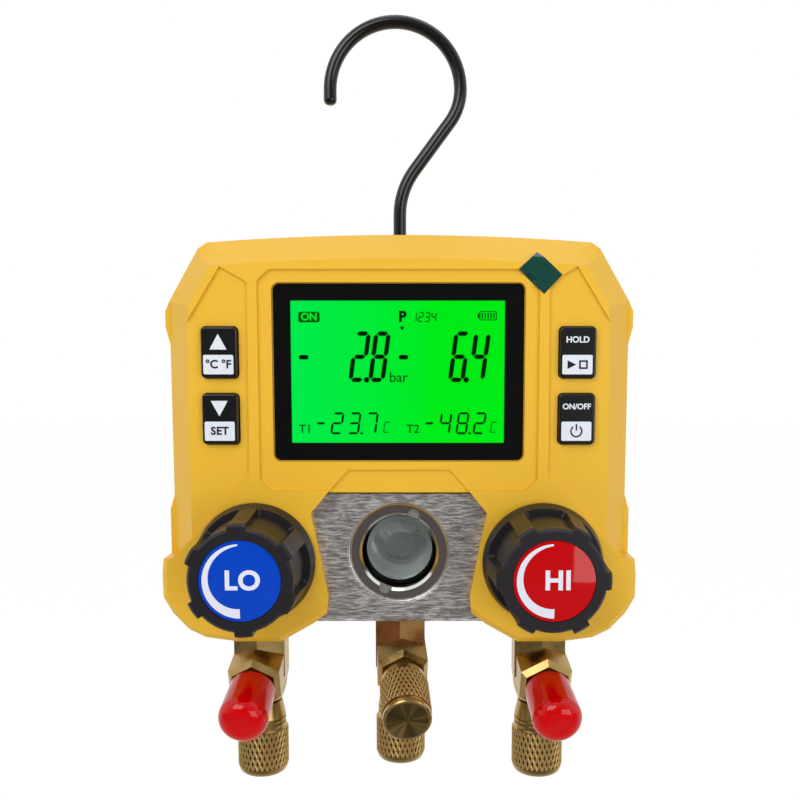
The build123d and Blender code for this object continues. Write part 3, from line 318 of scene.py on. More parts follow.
# ---------------------------------------------------------------- shapes, as (vertices, faces)
def slab(outline, depth, thickness):
    """a flat plate facing -Y, with its front at a depth; the outline runs anticlockwise"""
    count = len(outline)
    front = [(x, -depth, z) for x, z in outline]
    back = [(x, thickness - depth, z) for x, z in outline]
    sides = [(i, i + count, (i + 1) % count + count, (i + 1) % count) for i in range(count)]
    return front + back, [tuple(range(count)), tuple(reversed(range(count, 2 * count)))] + sides


def ring_slab(outer, inner, depth, thickness):
    """a flat frame between two outlines with the same number of points"""
    count = len(outer)
    vertices = [(x, y, z) for y in (-depth, thickness - depth)
                for outline in (outer, inner) for x, z in outline]
    faces = []
    for i in range(count):
        j = (i + 1) % count
        faces.append((i, j, count + j, count + i))
        faces.append((2 * count + i, 3 * count + i, 3 * count + j, 2 * count + j))
        faces.append((i, 2 * count + i, 2 * count + j, j))
        faces.append((count + i, count + j, 3 * count + j, 3 * count + i))
    return vertices, faces


def arc_band(x, z, outer, inner, start, sweep, depth, thickness, steps=40):
    """a flat band between two arcs; inner is a function of the share of the sweep"""
    angles = [math.radians(start + sweep * step / steps) for step in range(steps + 1)]
    edges = [[(x + outer * math.cos(angle), z + outer * math.sin(angle)) for angle in angles],
             [(x + inner(step / steps) * math.cos(angle), z + inner(step / steps) * math.sin(angle))
              for step, angle in enumerate(angles)]]
    count = steps + 1
    vertices = [(p[0], y, p[1]) for y in (-depth, thickness - depth) for edge in edges for p in edge]
    faces = []
    for i in range(steps):
        faces.append((i, i + 1, count + i + 1, count + i))
        faces.append((2 * count + i, 3 * count + i, 3 * count + i + 1, 2 * count + i + 1))
        faces.append((i, 2 * count + i, 2 * count + i + 1, i + 1))
        faces.append((count + i, count + i + 1, 3 * count + i + 1, 3 * count + i))
    faces.append((0, count, 3 * count, 2 * count))
    faces.append((2 * count + steps, 3 * count + steps, count + steps, steps))
    return vertices, faces


def merge_shapes(shapes):
    """one shape from several"""
    vertices, faces = [], []
    for points, loops in shapes:
        start = len(vertices)
        vertices += points
        faces += [tuple(start + i for i in loop) for loop in loops]
    return vertices, faces


# ---------------------------------------------------------------- pieces
def piece(name, vertices, faces, finish, body, smooth=False):
    """an object from a shape, riding on a CAD body"""
    mesh = bpy.data.meshes.new(name)
    mesh.from_pydata([Vector(v) * MM for v in vertices], [], faces)
    mesh.validate()
    mesh.materials.append(finish)
    result = bpy.data.objects.new(name, mesh)
    scene.collection.objects.link(result)
    if smooth:
        mesh.shade_smooth()
    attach(result, body)
    return result


def words(name, text, place, size, finish, body, depth, thickness, spacing=1.0, weight=0.0):
    """raised lettering that faces the front; place is its (x, z) centre and size its font size"""
    curve = bpy.data.curves.new(name, "FONT")
    curve.body = text
    curve.size = size * MM
    curve.align_x = "CENTER"
    curve.align_y = "CENTER"
    curve.space_character = spacing
    curve.extrude = thickness * MM
    curve.offset = weight * MM
    curve.materials.append(finish)
    result = bpy.data.objects.new(name, curve)
    scene.collection.objects.link(result)
    result.location = Vector((place[0], -depth, place[1])) * MM
    result.rotation_euler = (math.radians(90), 0, 0)
    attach(result, body)
    return result


def carve(target, shapes):
    """cuts shapes out of a piece"""
    cutter = piece("cutter", *merge_shapes(shapes), zinc, "housing")
    for each in (target, cutter):
        outward = bmesh.new()
        outward.from_mesh(each.data)
        bmesh.ops.recalc_face_normals(outward, faces=outward.faces)
        outward.to_mesh(each.data)
        outward.free()
    cut = target.modifiers.new("cut", "BOOLEAN")
    cut.operation = "DIFFERENCE"
    cut.solver = "EXACT"
    cut.object = cutter
    bpy.context.view_layer.update()
    solved = target.evaluated_get(bpy.context.evaluated_depsgraph_get())
    target.data = bpy.data.meshes.new_from_object(solved)
    target.modifiers.clear()
    bpy.data.objects.remove(cutter)


# ---------------------------------------------------------------- screw drives
RIM_BAND = 0.01
ARM_LENGTH, ARM_WIDTH, ARM_CORNER, ARM_DEPTH = 3.0, 0.75, 0.3, 0.7
HEX_REACH, HEX_DEPTH = 1.75, 1.6
CUTTER_EXCESS = 1.0


def rear_rims(node):
    """the (x, z) middle of the rear rim of each patch of joined faces in a node, with the rim's
    depth; a screw's faces aren't all joined, so its head, shoulder and tip each give some"""
    mesh = bmesh.new()
    mesh.from_mesh(nodes[node].data)
    waiting = set(mesh.verts)
    found = []
    while waiting:
        group = {waiting.pop()}
        edge = set(group)
        while edge:
            edge = {link.other_vert(v) for v in edge for link in v.link_edges} & waiting
            waiting -= edge
            group |= edge
        rear = max(v.co.y for v in group)
        rim = [v.co for v in group if v.co.y > rear - RIM_BAND * MM]
        middle = [(min(p[k] for p in rim) + max(p[k] for p in rim)) / 2 / MM for k in (0, 2)]
        found.append((middle[0], middle[1], -rear / MM))
    mesh.free()
    return sorted(found)


def upright_arm(x, z):
    return rounded_box(x, z, ARM_WIDTH, ARM_LENGTH, ARM_CORNER, 2)


def level_arm(x, z):
    return rounded_box(x, z, ARM_LENGTH, ARM_WIDTH, ARM_CORNER, 2)


def hexagon(x, z):
    return circle(x, z, HEX_REACH, 6)


screw_drives = {"cover_screws": ("housing", (level_arm, upright_arm), ARM_DEPTH),
                "battery_door_screw": ("battery_door", (upright_arm,), ARM_DEPTH),
                "manifold_screws": ("housing", (hexagon,), HEX_DEPTH)}
for name, (body, outlines, sunk) in screw_drives.items():
    screws = bpy.data.objects.new(f"{name}_driven", nodes[name].data.copy())
    scene.collection.objects.link(screws)
    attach(screws, body)
    rims = rear_rims(name)
    for outline in outlines:
        carve(screws, [slab(outline(x, z), depth + sunk, sunk + CUTTER_EXCESS) for x, z, depth in rims])
    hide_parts(name)

# ---------------------------------------------------------------- display: the lens's dark border
MASK_DEPTH, MASK_THICKNESS = 47.5, 0.05
LENS_CENTRE, LENS_SIZE, LENS_CORNER = (0.0, 61.8), (81.1, 57.1), 2.2
LCD_LOW, LCD_HIGH, LCD_CORNER = (-34.9, 39.0), (34.3, 84.9), 0.3
window_centre = ((LCD_LOW[0] + LCD_HIGH[0]) / 2, (LCD_LOW[1] + LCD_HIGH[1]) / 2)
window_size = (LCD_HIGH[0] - LCD_LOW[0], LCD_HIGH[1] - LCD_LOW[1])
mask_outer = rounded_box(*LENS_CENTRE, *LENS_SIZE, LENS_CORNER)
mask_inner = rounded_box(*window_centre, *window_size, LCD_CORNER)
piece("display_mask", *ring_slab(mask_outer, mask_inner, MASK_DEPTH, MASK_THICKNESS), lens_border,
      "housing")

# ---------------------------------------------------------------- display: seven-segment digits
LCD_FRONT, INK_RISE, INK_THICKNESS = 47.2, 0.06, 0.05
INK_DEPTH = LCD_FRONT + INK_RISE
DIGIT_SLANT = 0.135
# the gap at a bar's end and the radius of a decimal point, as shares of the stroke
SEGMENT_GAP, POINT_RADIUS = 0.12, 0.62
DIGITS = {"1": "bc", "2": "abged", "3": "abgcd", "4": "fgbc", "6": "afgedc", "7": "abc",
          "8": "abcdefg", "C": "adef"}


def inked(outline):
    """an outline as a thin layer of ink on the display"""
    return slab(outline, INK_DEPTH, INK_THICKNESS)


def segment(x, z, length, width, upright):
    """one bar of a digit, pointed at both ends, about its middle"""
    half, edge = length / 2, width / 2
    bar = [(-half, 0), (-half + edge, -edge), (half - edge, -edge), (half, 0), (half - edge, edge),
           (-half + edge, edge)]
    if upright:
        bar = [(-b, a) for a, b in bar]
    return [(x + a + DIGIT_SLANT * (z + b), z + b) for a, b in bar]


def digit(character, x, z, width, height, stroke):
    """the bars of one digit; x, z is its lower left corner"""
    half = height / 2
    bars = {
        "a": (width / 2, height, width, False), "g": (width / 2, half, width, False),
        "d": (width / 2, 0, width, False), "f": (0, 1.5 * half, half, True),
        "b": (width, 1.5 * half, half, True), "e": (0, half / 2, half, True),
        "c": (width, half / 2, half, True),
    }
    result = []
    for name in DIGITS[character]:
        a, b, length, upright = bars[name]
        bar = segment(a, b, length - 2 * SEGMENT_GAP * stroke, stroke, upright)
        result.append([(x + p, z + q) for p, q in bar])
    return result


def reading(name, text, x, z, width, height, pitch, stroke, finish=lcd_ink):
    """a row of digits; a point follows the digit before it"""
    shapes = []
    column = 0
    for character in text:
        left = x + column * pitch
        if character == ".":
            point_x = left - pitch + width + (pitch - width) / 2
            shapes.append(inked(circle(point_x, z, POINT_RADIUS * stroke, 16)))
            continue
        shapes += [inked(bar) for bar in digit(character, left, z, width, height, stroke)]
        column += 1
    return piece(name, *merge_shapes(shapes), finish, "housing")


# two large readings, two small ones below them with their units, and the minus signs
LARGE = dict(z=59.5, width=4.0, height=14.9, pitch=6.45, stroke=1.45)
SMALL = dict(z=42.1, width=3.1, height=6.5, pitch=5.6, stroke=0.68)
DEGREES = dict(z=42.4, width=1.7, height=3.3, pitch=2.2, stroke=0.34, finish=lcd_faint)
reading("lcd_low_pressure", "2.8", -15.7, **LARGE)
reading("lcd_high_pressure", "6.4", 16.7, **LARGE)
reading("lcd_low_temperature", "23.7", -22.1, **SMALL)
reading("lcd_high_temperature", "48.2", 13.2, **SMALL)
reading("lcd_low_degrees", "C", -5.0, **DEGREES)
reading("lcd_high_degrees", "C", 29.9, **DEGREES)

SIGN_ROUNDING = 0.48
LARGE_SIGN, SMALL_SIGN = (66.8, 3.1, 1.45), (45.35, 2.5, 0.7)
signs = {"low_pressure": (-30.85, LARGE_SIGN), "high_pressure": (1.55, LARGE_SIGN),
         "low_temperature": (-25.5, SMALL_SIGN), "high_temperature": (9.9, SMALL_SIGN)}
for name, (sign_x, (sign_z, width, height)) in signs.items():
    bar = rounded_box(sign_x, sign_z, width, height, SIGN_ROUNDING * height)
    piece(f"lcd_{name}_sign", *inked(bar), lcd_ink, "housing")

LCD_WORD = dict(body="housing", depth=INK_DEPTH, thickness=0.02)
for name, text, place, size in (("lcd_unit", "bar", (-0.1, 60.2), 4.6),
                                ("lcd_low_name", "T1", (-30.6, 43.4), 3.9),
                                ("lcd_high_name", "T2", (4.6, 43.4), 3.9)):
    words(name, text, place, size, lcd_faint, weight=0.04, **LCD_WORD)

# ---------------------------------------------------------------- display: icons along the top
MODE_PLACE, MODE_BOX, MODE_CORNER, MODE_RISE = (-29.0, 79.7), (6.9, 3.4), 0.7, 0.03
piece("lcd_mode_box", *inked(rounded_box(*MODE_PLACE, *MODE_BOX, MODE_CORNER)), lcd_faint, "housing")
words("lcd_mode_word", "ON", MODE_PLACE, 3.3, lcd_lit, "housing", INK_DEPTH + MODE_RISE,
      thickness=0.02, weight=0.12)

STAR_CENTRE, STAR_REACHES = (1.1, 76.2), (0.9, 0.38)
star = []
for point in range(10):
    reach = STAR_REACHES[point % 2]
    angle = math.radians(90 + 36 * point)
    star.append((STAR_CENTRE[0] + reach * math.cos(angle), STAR_CENTRE[1] + reach * math.sin(angle)))
piece("lcd_star", *inked(star), lcd_ink, "housing")
words("lcd_program_letter", "P", (1.2, 79.7), 4.7, lcd_ink, weight=0.2, **LCD_WORD)
reading("lcd_program", "1234", 4.2, z=78.3, width=1.35, height=2.8, pitch=2.1, stroke=0.36)

BATTERY_X, BATTERY_Z = 28.9, 80.1
CASE_OUTER, CASE_INNER = (5.6, 2.9, 0.4), (5.1, 2.4, 0.3)
CHARGE_BARS, CHARGE_BAR, CHARGE_START, CHARGE_PITCH = 5, (0.42, 1.8, 0.1), -1.9, 0.95
TERMINAL, TERMINAL_X = (0.5, 1.6, 0.1), -3.1
case = ring_slab(rounded_box(BATTERY_X, BATTERY_Z, *CASE_OUTER),
                 rounded_box(BATTERY_X, BATTERY_Z, *CASE_INNER), INK_DEPTH, INK_THICKNESS)
terminal = inked(rounded_box(BATTERY_X + TERMINAL_X, BATTERY_Z, *TERMINAL))
charge = [inked(rounded_box(BATTERY_X + CHARGE_START + CHARGE_PITCH * bar, BATTERY_Z, *CHARGE_BAR))
          for bar in range(CHARGE_BARS)]
piece("lcd_battery", *merge_shapes([case, terminal] + charge), lcd_ink, "housing")

# ---------------------------------------------------------------- keys
KEY_FRONT, KEY_X, KEY_Z = 51.03, 57.6, {"upper": 68.3, "lower": 46.9}
LABEL_SIZE, LABEL_CORNER = (9.7, 6.2), 0.5
LABEL_DROP, ARROW_RISE, WORD_RISE = 3.9, 3.4, 4.0
PRINT_SHIFT, LABEL_THICKNESS = -0.2, 0.05
UPPER_PRINT, UPPER_PRINT_THICKNESS = KEY_FRONT + 0.03, 0.03
ARROW_HALF, ARROW_HEIGHT = 2.75, 5.0
print_x = {"left": -KEY_X + PRINT_SHIFT, "right": KEY_X + PRINT_SHIFT}
label_z = {row: z - LABEL_DROP for row, z in KEY_Z.items()}
word_z = {row: z + WORD_RISE for row, z in KEY_Z.items()}

for side, x in print_x.items():
    for row, z in label_z.items():
        label = slab(rounded_box(x, z, *LABEL_SIZE, LABEL_CORNER), KEY_FRONT, LABEL_THICKNESS)
        piece(f"key_{row}_{side}_label", *label, white_print, f"key_{row}_{side}")

for row, rise in (("upper", ARROW_HEIGHT), ("lower", -ARROW_HEIGHT)):
    arrow = triangle(print_x["left"], KEY_Z[row] + ARROW_RISE, ARROW_HALF, rise)
    piece(f"key_{row}_left_arrow", *slab(arrow, KEY_FRONT, LABEL_THICKNESS), white_print,
          f"key_{row}_left")

key_words = {
    "key_upper_left": ("°C °F", (print_x["left"], label_z["upper"]), 3.7, dark_print, 1.0, 0.1),
    "key_lower_left": ("SET", (print_x["left"], label_z["lower"]), 3.5, dark_print, 1.08, 0.12),
    "key_upper_right": ("HOLD", (print_x["right"], word_z["upper"]), 2.7, white_print, 1.0, 0.08),
    "key_lower_right": ("ON/OFF", (print_x["right"], word_z["lower"]), 2.5, white_print, 1.0, 0.07),
}
for key, (text, place, size, finish, spacing, weight) in key_words.items():
    words(f"{key}_word", text, place, size, finish, key, UPPER_PRINT, UPPER_PRINT_THICKNESS,
          spacing=spacing, weight=weight)

# play and stop on the upper right key
PLAY_LEFT, PLAY_TIP, PLAY_HALF = 3.2, 0.4, 1.4
STOP_X, STOP_OUTER, STOP_INNER = 1.9, (2.8, 2.8, 0.1), (1.7, 1.7, 0.05)
run_x, run_z = print_x["right"], label_z["upper"]
play = slab([(run_x - PLAY_LEFT, run_z - PLAY_HALF), (run_x - PLAY_TIP, run_z),
             (run_x - PLAY_LEFT, run_z + PLAY_HALF)], UPPER_PRINT, LABEL_THICKNESS)
stop = ring_slab(rounded_box(run_x + STOP_X, run_z, *STOP_OUTER),
                 rounded_box(run_x + STOP_X, run_z, *STOP_INNER), UPPER_PRINT, LABEL_THICKNESS)
piece("key_upper_right_icon", *merge_shapes([play, stop]), dark_print, "key_upper_right")

# a power sign on the lower right key
POWER_OUTER, POWER_INNER, POWER_START, POWER_SWEEP = 2.0, 1.5, 125, 290
POWER_BAR, POWER_BAR_RISE = (0.5, 2.2, 0.1), 1.3
power_x, power_z = print_x["right"], label_z["lower"]
power_ring = arc_band(power_x, power_z, POWER_OUTER, lambda share: POWER_INNER, POWER_START,
                      POWER_SWEEP, UPPER_PRINT, LABEL_THICKNESS)
power_bar = slab(rounded_box(power_x, power_z + POWER_BAR_RISE, *POWER_BAR), UPPER_PRINT,
                 LABEL_THICKNESS)
piece("key_lower_right_icon", *merge_shapes([power_ring, power_bar]), dark_print, "key_lower_right")

# ---------------------------------------------------------------- knob discs
KNOB_X = 47.0
DISC_EDGE, DISC_DOME, DISC_RADIUS = 78.7, 1.1, 12.35
DISC_PRINT_RISE = 0.05
DRAPE_CUTS = 24
SCALE_REACH, SCALE_START, SCALE_SWEEP = 11.3, 92.0, 178.0
SCALE_THIN, SCALE_SPREAD, SCALE_CURVE = 0.5, 2.5, 0.8
DISC_WORD = dict(depth=0.0, thickness=DISC_PRINT_RISE, spacing=1.08, weight=0.28)
DISC_WORD_SIZE, DISC_WORD_SHIFT = 8.0, (0.9, 0.2)


def drape_on_disc(target, x):
    """cuts a flat print into small cells and sets it down on the domed disc"""
    cells = bmesh.new()
    cells.from_mesh(target.data)
    for cut in range(1, DRAPE_CUTS):
        offset = DISC_RADIUS * (2 * cut / DRAPE_CUTS - 1) * MM
        for point, normal in (((x * MM + offset, 0, 0), (1, 0, 0)), ((0, 0, offset), (0, 0, 1))):
            everything = cells.verts[:] + cells.edges[:] + cells.faces[:]
            bmesh.ops.bisect_plane(cells, geom=everything, plane_co=point, plane_no=normal)
    cells.to_mesh(target.data)
    cells.free()
    crown = (DISC_RADIUS**2 + DISC_DOME**2) / (2 * DISC_DOME)
    for vertex in target.data.vertices:
        across = vertex.co.x / MM - x
        up = vertex.co.z / MM
        drop = crown - math.sqrt(crown**2 - across**2 - up**2)
        vertex.co.y -= (DISC_EDGE + DISC_DOME - drop) * MM


def scale_inner(share):
    """the inner radius of a disc's scale, which widens along its sweep"""
    return SCALE_REACH - SCALE_THIN - SCALE_SPREAD * share**SCALE_CURVE


for side, x, word in (("low", -KNOB_X, "LO"), ("high", KNOB_X, "HI")):
    knob = f"{side}_knob"
    band = arc_band(x, 0.0, SCALE_REACH, scale_inner, SCALE_START, SCALE_SWEEP, DISC_PRINT_RISE,
                    2 * DISC_PRINT_RISE)
    scale = piece(f"{side}_disc_scale", *band, disc_white, knob)
    drape_on_disc(scale, x)
    place = (x + DISC_WORD_SHIFT[0], DISC_WORD_SHIFT[1])
    text = words(f"{side}_disc_word_outline", word, place, DISC_WORD_SIZE, disc_white, knob, **DISC_WORD)
    bpy.context.view_layer.update()
    flat = bpy.data.meshes.new_from_object(text)
    flat.transform(text.matrix_world)
    bpy.data.objects.remove(text)
    printed = bpy.data.objects.new(f"{side}_disc_word", flat)
    scene.collection.objects.link(printed)
    drape_on_disc(printed, x)
    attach(printed, knob)

# ---------------------------------------------------------------- sight glass
SIGHT_Z = 2.4
BLOCK_FRONT = 46.0
RING_FRONT, RING_BACK = 46.3, 43.3
RING_RADIUS, RING_BORE, RING_LIP, RING_EDGE = 16.3, 12.2, 1.0, 0.4
SLOT_WIDTH, SLOT_END, SLOT_FLOOR = 4.2, 13.3, 44.3
SLOT_ANGLES = (69.0, 249.0)
SLOT_CUT_INWARDS, SLOT_CUT_FORWARDS = 3.0, 1.0
PAD_GAP, PAD_THICKNESS = 0.1, 0.3
BEVEL_LEAST, BEVEL_MOST = 0.3, 0.95
OUTER_ORING, INNER_ORING, ORING_SHADE_SHIFT = 11.6, 11.0, 0.55
ORING_DEPTH, ORING_THICKNESS = 40.9, 0.4
LINING = [(11.25, 39.2), (11.25, 33.05), (8.95, 33.05), (8.95, 28.55), (6.45, 28.55), (6.45, 22.05),
          (0.01, 22.05)]
MOUTH = [(16.4, BLOCK_FRONT - 0.5), (17.3, BLOCK_FRONT + 0.04)]


def turned(name, profile, finish, body, closed=False, steps=96):
    """a surface turned about the sight glass's axis; its profile is points of (radius, depth)"""
    vertices = [(radius * math.cos(2 * math.pi * i / steps), -depth,
                 SIGHT_Z + radius * math.sin(2 * math.pi * i / steps))
                for radius, depth in profile for i in range(steps)]
    count = len(profile)
    faces = [(k * steps + i, k * steps + (i + 1) % steps, (k + 1) % count * steps + (i + 1) % steps,
              (k + 1) % count * steps + i)
             for k in range(count if closed else count - 1) for i in range(steps)]
    return piece(name, vertices, faces, finish, body)


def slot_outline(angle, start, half):
    """a radial slot with a round end, from a start radius outwards"""
    reach = [(start, -half)] + circle(SLOT_END, 0, half, 16, -90, 180) + [(start, half)]
    across, up = math.cos(math.radians(angle)), math.sin(math.radians(angle))
    return [(a * across - b * up, SIGHT_Z + a * up + b * across) for a, b in reach]


# the threaded ring, with two slots for a pin spanner
ring_profile = [(RING_RADIUS, RING_BACK), (RING_RADIUS, RING_FRONT - RING_EDGE),
                (RING_RADIUS - RING_EDGE, RING_FRONT), (RING_BORE + RING_LIP, RING_FRONT),
                (RING_BORE, RING_FRONT - RING_LIP), (RING_BORE, RING_BACK)]
ring = turned("sight_ring_visible", ring_profile, chrome, "housing", closed=True)
cut_front = RING_FRONT + SLOT_CUT_FORWARDS
carve(ring, [slab(slot_outline(angle, RING_BORE - SLOT_CUT_INWARDS, SLOT_WIDTH / 2), cut_front,
                  cut_front - SLOT_FLOOR) for angle in SLOT_ANGLES])
ring.data.materials.clear()
for finish in (chrome, polished):
    ring.data.materials.append(finish)
for face in ring.data.polygons:
    face.material_index = 1 if BEVEL_LEAST < abs(face.normal.y) < BEVEL_MOST else 0
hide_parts("sight_glass_ring")

# the slots' floors, the bright mouth round the ring, the o-ring's edge with painted shade and the bore's
# lining with painted light
for index, angle in enumerate(SLOT_ANGLES):
    pad = slab(slot_outline(angle, RING_BORE + PAD_GAP, SLOT_WIDTH / 2 - PAD_GAP),
               SLOT_FLOOR + PAD_THICKNESS, PAD_THICKNESS)
    piece(f"sight_ring_slot_{index + 1}", *pad, frosted, "housing")
turned("sight_mouth", MOUTH, bright_edge, "housing")
# a black ring, partly the o-ring's edge and partly painted shade: shifted up so it is thick at the
# bottom and thin at the top
oring_with_shade = ring_slab(circle(0, SIGHT_Z, OUTER_ORING, 64), circle(0, SIGHT_Z + ORING_SHADE_SHIFT, INNER_ORING, 64),
                  ORING_DEPTH, ORING_THICKNESS)
piece("sight_oring_edge_with_shade", *oring_with_shade, rubber_black, "housing")
# the lining is painted light: pale and mostly diffuse, it keeps the deep bore bright
turned("sight_bore", LINING, nickel_painted_light, "housing")

# ---------------------------------------------------------------- sticker draped on the cover
STICKER = [(44.4, 100.3), (38.4, 94.7), (46.5, 86.8), (52.3, 92.9)]
STICKER_CELLS, STICKER_SPREAD, STICKER_LIFT = 24, 3, 0.12
RAY_START_Y = -200.0
cover_mesh = nodes["front_cover"].data
cover_tree = BVHTree.FromPolygons([v.co for v in cover_mesh.vertices],
                                  [p.vertices for p in cover_mesh.polygons])
corners = [Vector((x, RAY_START_Y, z)) for x, z in STICKER]
landings = {}
for i in range(STICKER_CELLS + 1):
    for j in range(STICKER_CELLS + 1):
        u, v = i / STICKER_CELLS, j / STICKER_CELLS
        start = (corners[0] * (1 - u) * (1 - v) + corners[1] * u * (1 - v)
                 + corners[2] * u * v + corners[3] * (1 - u) * v) * MM
        landings[i, j] = cover_tree.ray_cast(start, Vector((0, 1, 0)))[0] / MM


def bridged(i, j):
    """the sticker lies on the highest ground near each of its points"""
    near = [landings[a, b].y for a in range(i - STICKER_SPREAD, i + STICKER_SPREAD + 1)
            for b in range(j - STICKER_SPREAD, j + STICKER_SPREAD + 1) if (a, b) in landings]
    return Vector((landings[i, j].x, min(near) - STICKER_LIFT, landings[i, j].z))


sticker_points = [bridged(i, j) for i, j in landings]
row = STICKER_CELLS + 1
sticker_faces = [(i * row + j, (i + 1) * row + j, (i + 1) * row + j + 1, i * row + j + 1)
                 for i in range(STICKER_CELLS) for j in range(STICKER_CELLS)]
piece("corner_sticker", sticker_points, sticker_faces, sticker_green, "housing", smooth=True)

# ---------------------------------------------------------------- knurling
KNURL_COUNT, KNURL_LENGTH = 32, 4.1
KNURL_HEIGHT, KNURL_PIT, KNURL_TAPER = 0.26, 0.5, 0.3


def knurled_sleeve(name, foot, axis, across, reach, radius, body):
    """a sleeve of diamonds about an axis: raised ridges round sunk pits, with painted light on the
    ridges and painted shade in the pits
    """
    axis = Vector(axis).normalized()
    first = Vector(across).normalized()
    second = axis.cross(first)
    rows = round(2 * reach / KNURL_LENGTH)
    step = reach / rows
    vertices, faces, pits = [], [], []

    def spot(turn, along_axis, rise):
        angle = 2 * math.pi * turn / KNURL_COUNT
        out = first * math.cos(angle) + second * math.sin(angle)
        vertices.append(Vector(foot) + axis * along_axis + out * (radius + rise))
        return len(vertices) - 1

    edges = {0: [], rows: []}
    for row in range(rows + 1):
        for i in range(KNURL_COUNT):
            middle = i + 0.5 * (row % 2)
            low, high = max(row - 1, 0), min(row + 1, rows)
            corners = [(middle - 0.5, row), (middle, low), (middle + 0.5, row), (middle, high)]
            ridge = [spot(turn, place * step, KNURL_HEIGHT) for turn, place in corners]
            pit = [spot(middle + (turn - middle) * KNURL_PIT,
                        (row + (place - row) * KNURL_PIT) * step, 0.0) for turn, place in corners]
            pits.append(len(faces))
            faces.append(tuple(pit))
            cut_short = {0: (0, 1), rows: (2, 3)}.get(row, ())
            for k in range(4):
                m = (k + 1) % 4
                if k not in cut_short:
                    faces.append((ridge[k], ridge[m], pit[m], pit[k]))
            if row in edges:
                edges[row].append((ridge, pit, middle))

    # the two ends slope down to the cap
    for row, way in ((0, -1), (rows, 1)):
        place = row * step + way * KNURL_TAPER
        for ridge, pit, middle in edges[row]:
            turns = [middle + 0.5 * share for share in (-1, -KNURL_PIT, KNURL_PIT, 1)]
            rim = [ridge[0], pit[0], pit[2], ridge[2]]
            foot_ring = [spot(turn, place, -KNURL_TAPER) for turn in turns]
            for k in range(3):
                faces.append((rim[k], rim[k + 1], foot_ring[k + 1], foot_ring[k]))
    # the ridges take the lighter copy of the brass as painted light, the pits the much darker one as
    # painted shade
    result = piece(name, vertices, faces, brass_knurl_painted_light, body)
    result.data.materials.append(brass_pit_painted_shade)
    for index in pits:
        result.data.polygons[index].material_index = 1
    return result


# the three blank caps that point down
BLANK_KNURL, BLANK_RADIUS = (2.9, 15.7), 8.46
for name in ("low", "center", "high"):
    low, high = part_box(f"{name}_blank_cap")
    middle = (low / MM + high / MM) / 2
    foot = Vector((middle.x, middle.y, low.z / MM + BLANK_KNURL[0]))
    knurled_sleeve(f"{name}_cap_knurl", foot, (0, 0, 1), (1, 0, 0), BLANK_KNURL[1] - BLANK_KNURL[0],
                   BLANK_RADIUS, f"{name}_blank_cap")

# the cap on the middle branch, which points at the front, down and a little to the right
BRANCH_ROOT = Vector((0, -27.0, -37.3))
BRANCH_SLOPE, CENTER_TURN = math.radians(18.0), math.radians(4.5)
FRONT_KNURL, FRONT_RADIUS = (20.5, 34.8), 8.01
branch_axis = Vector((math.sin(CENTER_TURN) * math.cos(BRANCH_SLOPE),
                      -math.cos(CENTER_TURN) * math.cos(BRANCH_SLOPE), -math.sin(BRANCH_SLOPE)))
branch_side = (Vector((0, 0, 1)) - branch_axis * branch_axis.z).normalized()
knurled_sleeve("center_front_knurl", BRANCH_ROOT + branch_axis * FRONT_KNURL[0], branch_axis,
               branch_side, FRONT_KNURL[1] - FRONT_KNURL[0], FRONT_RADIUS, "center_front_cap")

FACE_REACH, FACE_RADIUS, FACE_THICKNESS = 38.22, 6.9, 0.1
face = piece("center_cap_face", *slab(circle(0, 0, FACE_RADIUS, 64), 0.0, FACE_THICKNESS), brass_face_painted_reflections,
             "center_front_cap")
face.rotation_euler = (Vector((0, -1, 0)).rotation_difference(branch_axis)).to_euler()
face.location = (BRANCH_ROOT + branch_axis * FACE_REACH) * MM

# ---------------------------------------------------------------- stage, in metres
FLOOR_SIZE, FLOOR_Z = 12, -0.30
FLOOR_GREY, FLOOR_ROUGHNESS = (0.85, 0.85, 0.85, 1), 0.8
FLOOR_SHARE, FLOOR_WHITE = 0.92, 1.04
FLOOR_DARK_FROM, FLOOR_WHITE_FROM = -0.3, 0.25
WALL_DARK_FROM, WALL_WHITE_FROM = -0.9, -0.1
AMBIENT, STUDIO_DARK = 0.5, 0.12


def mirror_rays(tree, rays):
    """1 for a ray in a reflection or through glass"""
    return computed(tree, "MAXIMUM", rays["Is Glossy Ray"], rays["Is Transmission Ray"])


# seen directly the floor is white; in metal and glass it fades towards the front, where the
# studio is dark
bpy.ops.mesh.primitive_plane_add(size=FLOOR_SIZE, location=(0, 0, FLOOR_Z))
floor = bpy.context.object
floor.name = "floor"
floor_white = material("floor_white", FLOOR_GREY, FLOOR_ROUGHNESS)
tree = floor_white.node_tree
rays = tree.nodes.new("ShaderNodeLightPath").outputs
distance = along(tree, "ShaderNodeNewGeometry", "Position", "Y")
reflected = faded(tree, distance, FLOOR_DARK_FROM, FLOOR_WHITE_FROM, STUDIO_DARK, 1.0)
either = computed(tree, "MAXIMUM", rays["Is Camera Ray"], mirror_rays(tree, rays))
strength = computed(tree, "MAXIMUM", rays["Is Camera Ray"], reflected)
glow = tree.nodes.new("ShaderNodeEmission")
tree.links.new(computed(tree, "MULTIPLY", strength, FLOOR_WHITE), glow.inputs["Strength"])
blend = tree.nodes.new("ShaderNodeMixShader")
tree.links.new(computed(tree, "MULTIPLY", either, FLOOR_SHARE), blend.inputs[0])
tree.links.new(shader_of(floor_white).outputs[0], blend.inputs[1])
tree.links.new(glow.outputs[0], blend.inputs[2])
tree.links.new(blend.outputs[0], tree.nodes["Material Output"].inputs["Surface"])
floor.data.materials.append(floor_white)

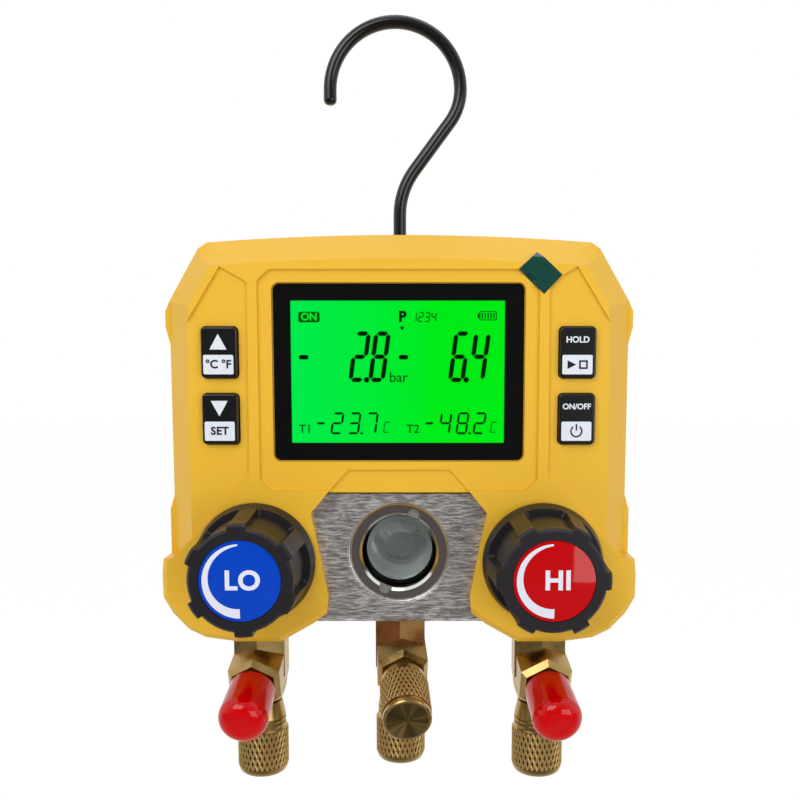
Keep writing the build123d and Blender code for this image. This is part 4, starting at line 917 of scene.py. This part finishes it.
# the backdrop is white seen directly, dark at the front in reflections, and an even soft light
world = bpy.data.worlds.new("studio")
scene.world = world
world.use_nodes = True
tree = world.node_tree
background = tree.nodes["Background"]
background.inputs["Color"].default_value = (1, 1, 1, 1)
rays = tree.nodes.new("ShaderNodeLightPath").outputs
direction = along(tree, "ShaderNodeTexCoord", "Generated", "Y")
reflected = faded(tree, direction, WALL_DARK_FROM, WALL_WHITE_FROM, STUDIO_DARK, 1.0)
mirrored = mirror_rays(tree, rays)
in_mirrors = computed(tree, "MULTIPLY", mirrored, reflected)
elsewhere = computed(tree, "MULTIPLY", computed(tree, "SUBTRACT", 1.0, mirrored), AMBIENT)
indirect = computed(tree, "ADD", in_mirrors, elsewhere)
strength = computed(tree, "MAXIMUM", rays["Is Camera Ray"], indirect)
tree.links.new(strength, background.inputs["Strength"])

# ---------------------------------------------------------------- lights, in metres and watts
LIT_POINT = (0, -0.03, 0.05)


def softbox(name, place, size, power):
    """a rectangular lamp that faces the gauge"""
    lamp = bpy.data.lights.new(name, "AREA")
    lamp.shape = "RECTANGLE"
    lamp.size, lamp.size_y = size
    lamp.energy = power
    result = bpy.data.objects.new(name, lamp)
    scene.collection.objects.link(result)
    result.location = place
    result.rotation_euler = (Vector(LIT_POINT) - Vector(place)).to_track_quat("-Z", "Y").to_euler()


softbox("key_light", (-0.5, -1.0, 0.8), size=(0.9, 0.7), power=7)
softbox("top_light", (0.1, 0.0, 1.3), size=(1.2, 0.8), power=2.5)
softbox("fill_light", (0.8, -1.1, -0.05), size=(0.8, 0.9), power=5.5)

# ---------------------------------------------------------------- camera
CAMERA_PLACE, CAMERA_DOWN = (6.247, -350.0, 63.004), 5.98
SENSOR, FOCAL_LENGTH = 36.0, 41.70
SHIFT_X, SHIFT_Y = -0.0225, 0.0826
CLIP_NEAR, CLIP_FAR = 0.01, 50
camera_data = bpy.data.cameras.new("camera")
camera = bpy.data.objects.new("camera", camera_data)
scene.collection.objects.link(camera)
camera.location = Vector(CAMERA_PLACE) * MM
camera.rotation_euler = (math.radians(90 - CAMERA_DOWN), 0, 0)
camera_data.sensor_width = SENSOR
camera_data.lens = FOCAL_LENGTH
camera_data.shift_x = SHIFT_X
camera_data.shift_y = SHIFT_Y
camera_data.clip_start = CLIP_NEAR
camera_data.clip_end = CLIP_FAR
scene.camera = camera

scene.view_settings.view_transform = "Standard"
